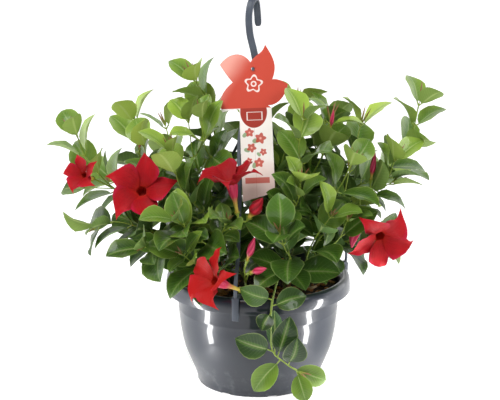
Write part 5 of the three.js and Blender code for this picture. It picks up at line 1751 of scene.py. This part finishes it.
def make_tag(material):
    """The card, set against the peg. Its corners keep their places in its own plane for the print."""
    mesh = card_mesh()
    flat = np.zeros(len(mesh.vertices) * 3)
    mesh.vertices.foreach_get("co", flat)
    x, y, depth = flat.reshape(-1, 3).T[:, :, None]
    for label, values in (("card_x", x), ("card_y", y)):
        layer = mesh.attributes.new(label, "FLOAT", "POINT")
        layer.data.foreach_set("value", values.ravel().astype(np.float32))
    placed = TAG_HOLE + x * TAG_RIGHT - y * TAG_DOWN + (depth + CARD / 2) * TAG_FACE
    mesh.vertices.foreach_set("co", (placed / 1000).ravel())
    mesh.materials.clear()
    mesh.materials.append(material)
    mesh.update()
    show(bpy.data.objects.new("printed_tag", mesh), "tag_card", "tag")


# ---- What a user may change


def linear(code):
    """A colour from its six hexadecimal digits, in linear light."""
    parts = [int(code[start:start + 2], 16) / 255 for start in (0, 2, 4)]
    return tuple(
        part / 12.92 if part <= 0.04045 else ((part + 0.055) / 1.055) ** 2.4 for part in parts
    )


def hue(name, code, description):
    return bpy.props.FloatVectorProperty(
        name=name, description=description, default=linear(code), subtype="COLOR", size=3,
        min=0, max=1,
    )


def amount(name, default, description, **more):
    return bpy.props.FloatProperty(name=name, description=description, default=default, **more)


class MandevillaSizes(bpy.types.PropertyGroup):
    """Sizes of the blades and the gloss of petals and pot."""

    leaf_thickness: amount(
        "Leaf thickness", 0.0007, "How thick a leaf is at its middle", unit="LENGTH",
    )
    leaf_fold: amount(
        "Leaf fold", LEAF_FOLD, "How steeply a leaf's halves rise from its midrib", subtype="FACTOR",
    )
    leaf_wave: amount(
        "Leaf wave", 0.07, "How much a leaf's margin waves, for its half width", subtype="FACTOR",
    )
    petal_sheen: amount("Petal sheen", 0.02, "How velvety the petals are", subtype="FACTOR")
    pot_roughness: amount("Pot roughness", 0.3, "How dull the pot's plastic is", subtype="FACTOR")


class MandevillaColours(bpy.types.PropertyGroup):
    """Colours of leaves, stems, petals, pot, soil and tag."""

    old_leaf_dark: hue("Old leaf, dark", "213815", "The darkest full-grown leaves")
    old_leaf: hue("Old leaf", "5c8728", "The lightest full-grown leaves")
    young_leaf_dark: hue("Young leaf, dark", "84a834", "The darker young leaves")
    young_leaf: hue("Young leaf", "b8d05c", "The brightest leaves at the tips")
    vein: hue("Veins", "c4d488", "Midribs and margins")
    underleaf_dark: hue("Underleaf, dark", "46683a", "The darkest undersides")
    underleaf: hue("Underleaf", "7f9c54", "The palest undersides")
    stalk: hue("Stalks", "8a9f3c", "Leaf stalks and young stems")
    stem: hue("Stem", "5c6f2c", "Stems in the middle of the plant")
    old_stem: hue("Old stem", "5a4028", "Stems near the soil")
    scale_tip: hue("Tip scales", "94684a", "The brown points of a growing tip's scales")
    petal: hue("Petal", "c40c1c", "The open face of a petal")
    # This deep red is the veins' colour and also painted shade in the petals' folds and on a bloom that
    # faces up.
    petal_deep_and_shade: hue("Petal, deep", "8a0610", "Folds and veins of a petal")
    petal_edge: hue("Petal edge", "bc1444", "The margins of a petal")
    petal_warm: hue("Petal, warm", "b0120a", "The scarlet of the lowest bloom")
    throat: hue("Throat", "a81e08", "Inside the tube of a bloom")
    tube: hue("Tube", "c42a52", "The outside of the tube near its mouth")
    tube_foot: hue("Tube foot", "c9b24a", "The slim foot of the tube")
    # A bud's bright colour is a painted highlight along the backs of its lobes.
    red_bud: hue("Red bud", "c5132b", "The backs of a red bud's lobes")
    red_bud_deep: hue("Red bud, deep", "7c0714", "The furrows of a red bud")
    pink_bud: hue("Pink bud", "d8446c", "The backs of a pink bud's lobes")
    pink_bud_deep: hue("Pink bud, deep", "9c1136", "The furrows of a pink bud")
    pot: hue("Pot", "161d2b", "The slate grey of the pot")
    pot_dark: hue("Pot, dark", "10151f", "The pot's darker flow marks")
    dust: hue("Dust", "8a8c8e", "Dust on plastic")
    hanger: hue("Hanger", "545c68", "The hook and straps")
    hanger_dark: hue("Hanger, dark", "3e444f", "The darker patches of the hanger")
    soil: hue("Soil", "3b291d", "The lighter crumbs of the soil")
    soil_dark: hue("Soil, dark", "150d08", "The dark of the soil")
    bark: hue("Bark", "b37a45", "The brightest bark")
    bark_dark: hue("Bark, dark", "4a2c18", "The darkest bark")
    grit: hue("Grit", "c9b79a", "Pale specks in the soil")
    card_red: hue("Card red", "c24634", "The tag's red")
    # This pale colour is a painted glare on the tag's head, and it is also the print at the rosettes'
    # middles.
    card_pale_print_and_glare: hue("Card glare", "f2b3a4", "The paler side of the tag's head")
    card_white: hue("Card white", "f3ece6", "The tag's strip")
    card_blush: hue("Card blush", "d69a8c", "The wash on the strip")
    card_red_deep: hue("Card red, deep", "9e3427", "The lobe below the tag's head")
    card_leaf: hue("Card leaf", "5d8a3c", "The leaves drawn on the strip")


class MandevillaStage(bpy.types.PropertyGroup):
    """Light and floor."""

    key_power: amount("Key light", 50.0, "Power of the large soft light", unit="POWER")
    fill_power: amount(
        "Fill light", 15.0, "Power of the soft light on the other side", unit="POWER",
    )
    strip_power: amount(
        "Strip lights", 0.32, "Power of the two slim lights beside the pot", unit="POWER",
    )
    panel_power: amount(
        "Side panels", 6.0, "Power of the two broad lights at the sides", unit="POWER",
    )
    surround: amount("Surround", 0.24, "Strength of the white surroundings", min=0)
    # The floor's glow is painted light: the paper emits it, and there is no lamp beneath it.
    painted_floor_glow: amount("Paper glow", 0.56, "Light that comes through the paper floor", min=0)
    floor: hue("Floor", "f4f4f4", "The pale floor")


# ---- One operator for each piece or group of like pieces


def built(operator, make):
    """Runs a piece's making. An exception passes on and stops the script."""
    make()
    operator.report({"INFO"}, f"{operator.bl_label} is done")
    return {"FINISHED"}


class MANDEVILLA_OT_pot(bpy.types.Operator):
    """The moulded pot with its rolled rim"""

    bl_idname = "mandevilla.pot"
    bl_label = "Pot"

    def execute(self, context):
        colours = context.scene.mandevilla_colours
        gloss = context.scene.mandevilla_sizes.pot_roughness
        return built(self, lambda: make_pot(pot_finish(colours, gloss)))


class MANDEVILLA_OT_soil(bpy.types.Operator):
    """The soil and its bark chips"""

    bl_idname = "mandevilla.soil"
    bl_label = "Soil"

    def execute(self, context):
        colours = context.scene.mandevilla_colours
        return built(self, lambda: make_soil([soil_finish(colours), bark_finish(colours)]))


class MANDEVILLA_OT_hanger(bpy.types.Operator):
    """The hook and the three straps"""

    bl_idname = "mandevilla.hanger"
    bl_label = "Hanger"

    def execute(self, context):
        return built(self, lambda: make_hanger(hanger_finish(context.scene.mandevilla_colours)))


class MANDEVILLA_OT_tag(bpy.types.Operator):
    """The die-cut tag"""

    bl_idname = "mandevilla.tag"
    bl_label = "Tag"

    def execute(self, context):
        return built(self, lambda: make_tag(card_finish(context.scene.mandevilla_colours)))


class MANDEVILLA_OT_stems(bpy.types.Operator):
    """The leafy stems, with the stalks of blooms and buds"""

    bl_idname = "mandevilla.stems"
    bl_label = "Leafy stems"

    def execute(self, context):
        colours = context.scene.mandevilla_colours
        sizes = context.scene.mandevilla_sizes
        finishes = (leaf_finish, underleaf_finish, stem_finish, scale_finish)
        materials = [finish(colours) for finish in finishes]
        laid, named = grow()
        return built(self, lambda: make_leafy_stems(laid, named, sizes, materials))


class MANDEVILLA_OT_blooms(bpy.types.Operator):
    """The open blooms"""

    bl_idname = "mandevilla.blooms"
    bl_label = "Blooms"

    def execute(self, context):
        colours = context.scene.mandevilla_colours
        sheen = context.scene.mandevilla_sizes.petal_sheen
        return built(self, lambda: make_blooms([petal_finish(colours, sheen), tube_finish(colours)]))


class MANDEVILLA_OT_buds(bpy.types.Operator):
    """The furled buds"""

    bl_idname = "mandevilla.buds"
    bl_label = "Buds"

    def execute(self, context):
        colours = context.scene.mandevilla_colours
        red = bud_finish(colours, "red_bud", colours.red_bud_deep, colours.red_bud)
        pink = bud_finish(colours, "pink_bud", colours.pink_bud_deep, colours.pink_bud)
        return built(self, lambda: make_buds(red, pink))


class MANDEVILLA_OT_stage(bpy.types.Operator):
    """Floor, lights and camera"""

    bl_idname = "mandevilla.stage"
    bl_label = "Stage"

    def execute(self, context):
        return built(self, lambda: make_stage(context.scene, context.scene.mandevilla_stage))


# ---- Floor, lights and camera, in metres

FLOOR_HALF_WIDTH = 18
FLOOR_FRONT = -18
FLOOR_LEVEL = -0.0002  # just below the pot's foot
BEND_START = 3
BEND_RADIUS = 1.5
BACKDROP_TOP = 6
WHITE = (1, 1, 1)
PALE = (0.8, 0.8, 0.8)
DIM = (0.5, 0.5, 0.5)

# Each light's name, place, what it faces, width and height, and the property that gives its power.
LIGHTS = (
    ("key", (-0.75, -1.0, 2.25), (0, 0, 0.25), (1.6, 1.6), "key_power"),
    ("fill", (1.6, -1.3, 1.5), (0, 0, 0.22), (1.2, 1.2), "fill_power"),
    ("left_panel", (-1.4, 0.5, 0.55), (0, 0, 0.2), (1.3, 1.1), "panel_power"),
    ("right_panel", (1.4, 0.5, 0.55), (0, 0, 0.2), (1.3, 1.1), "panel_power"),
    ("left_strip", (-0.18, -0.11, 0.07), (-0.064, -0.083, 0.09), (0.024, 0.13), "strip_power"),
    ("right_strip", (0.18, -0.11, 0.07), (0.064, -0.083, 0.09), (0.024, 0.13), "strip_power"),
)

CAMERA_PLACE = (-0.0109, -2.0762, 0.7908)
CAMERA_PITCH = 75.4  # degrees from straight down
LENS = 115.2
SENSOR_WIDTH = 36


def soft_light(scene, name, place, target, size, power):
    light = bpy.data.lights.new(name, "AREA")
    light.shape = "RECTANGLE"
    light.size, light.size_y = size
    light.energy = power
    lamp = bpy.data.objects.new(name, light)
    towards = unit(np.array(target, float) - np.array(place, float))
    lamp.location = place
    lamp.rotation_euler = (
        math.acos(-towards[2]), 0, math.atan2(towards[1], towards[0]) - math.pi / 2,
    )
    lamp.visible_camera = False
    scene.collection.objects.link(lamp)


def floor_mesh():
    """A floor that rises in a smooth curve at the back: level to 3 m behind the pot, then a quarter
    circle of 1.5 m, then upright."""
    bend = np.radians(np.linspace(0, 90, 24))
    y = np.concatenate([
        [FLOOR_FRONT, BEND_START], BEND_START + BEND_RADIUS * np.sin(bend), [BEND_START + BEND_RADIUS],
    ])
    z = np.concatenate([[0, 0], BEND_RADIUS - BEND_RADIUS * np.cos(bend), [BACKDROP_TOP]])
    count = len(y)
    points = np.concatenate([
        np.column_stack([np.full(count, x), y, z + FLOOR_LEVEL])
        for x in (-FLOOR_HALF_WIDTH, FLOOR_HALF_WIDTH)
    ])
    start = np.arange(count - 1)
    faces = np.stack([start, start + count, start + count + 1, start + 1], 1)
    mesh = bpy.data.meshes.new("studio_floor")
    mesh.from_pydata(points.tolist(), [], faces.tolist())
    mesh.polygons.foreach_set("use_smooth", np.ones(len(faces), bool))
    return mesh


def floor_finish(look):
    """Pale paper that glows as painted light, with no lamp below it: dim far in front of the pot, which
    darkens what the pot reflects, pale around it and white far back.
    """
    f = Finish("studio_paper", Specular_IOR_Level=0.1)
    back = f.axis("Y").step(0.2, 2.5).tint(PALE, WHITE)
    # Painted light: the floor's own glow, dim far in front of the pot, pale around it and white far
    # back.
    glow = f.axis("Y").step(-1.8, -0.15).tint(DIM, back)
    feed(f.tree, f.shader.inputs["Emission Color"], glow)
    f.shader.inputs["Emission Strength"].default_value = look.painted_floor_glow
    return f.done((f.noise(3, 2) * 0.1).tint(look.floor, PALE), 0.9)


def make_stage(scene, look):
    """The floor, white surroundings, soft lights and the camera."""
    mesh = floor_mesh()
    mesh.materials.append(floor_finish(look))
    floor = bpy.data.objects.new("studio_floor", mesh)
    scene.collection.objects.link(floor)

    world = bpy.data.worlds.new("studio_surround")
    world.use_nodes = True
    background = world.node_tree.nodes["Background"]
    background.inputs["Color"].default_value = (*WHITE, 1)
    background.inputs["Strength"].default_value = look.surround
    scene.world = world
    for name, place, target, size, power in LIGHTS:
        soft_light(scene, name, place, target, size, getattr(look, power))

    camera = bpy.data.cameras.new("camera")
    camera.lens = LENS
    camera.sensor_width = SENSOR_WIDTH
    holder = bpy.data.objects.new("camera", camera)
    holder.location = CAMERA_PLACE
    holder.rotation_euler = (math.radians(CAMERA_PITCH), 0, 0)
    scene.collection.objects.link(holder)
    scene.camera = holder
    scene.view_settings.view_transform = "Standard"


OPERATORS = (
    MANDEVILLA_OT_pot, MANDEVILLA_OT_soil, MANDEVILLA_OT_hanger, MANDEVILLA_OT_tag,
    MANDEVILLA_OT_stems, MANDEVILLA_OT_blooms, MANDEVILLA_OT_buds, MANDEVILLA_OT_stage,
)


class VIEW3D_PT_mandevilla(bpy.types.Panel):
    """Lists the pieces and what may be changed about them"""

    bl_idname = "VIEW3D_PT_mandevilla"
    bl_label = "Potted Mandevilla"
    bl_space_type = "VIEW_3D"
    bl_region_type = "UI"
    bl_category = "Mandevilla"

    def draw(self, context):
        for operator in OPERATORS:
            self.layout.operator(operator.bl_idname)
        scene = context.scene
        for group in (scene.mandevilla_sizes, scene.mandevilla_colours, scene.mandevilla_stage):
            box = self.layout.box()
            for name in group.__annotations__:
                box.prop(group, name)


GROUPS = (MandevillaSizes, MandevillaColours, MandevillaStage)


def register():
    for kind in (*GROUPS, *OPERATORS, VIEW3D_PT_mandevilla):
        bpy.utils.register_class(kind)
    bpy.types.Scene.mandevilla_sizes = bpy.props.PointerProperty(type=MandevillaSizes)
    bpy.types.Scene.mandevilla_colours = bpy.props.PointerProperty(type=MandevillaColours)
    bpy.types.Scene.mandevilla_stage = bpy.props.PointerProperty(type=MandevillaStage)


def unregister():
    del bpy.types.Scene.mandevilla_sizes
    del bpy.types.Scene.mandevilla_colours
    del bpy.types.Scene.mandevilla_stage
    for kind in reversed((*GROUPS, *OPERATORS, VIEW3D_PT_mandevilla)):
        bpy.utils.unregister_class(kind)


def main():
    register()
    for operator in OPERATORS:
        group, name = operator.bl_idname.split(".")
        getattr(getattr(bpy.ops, group), name)()


if __name__ == "__main__":
    main()
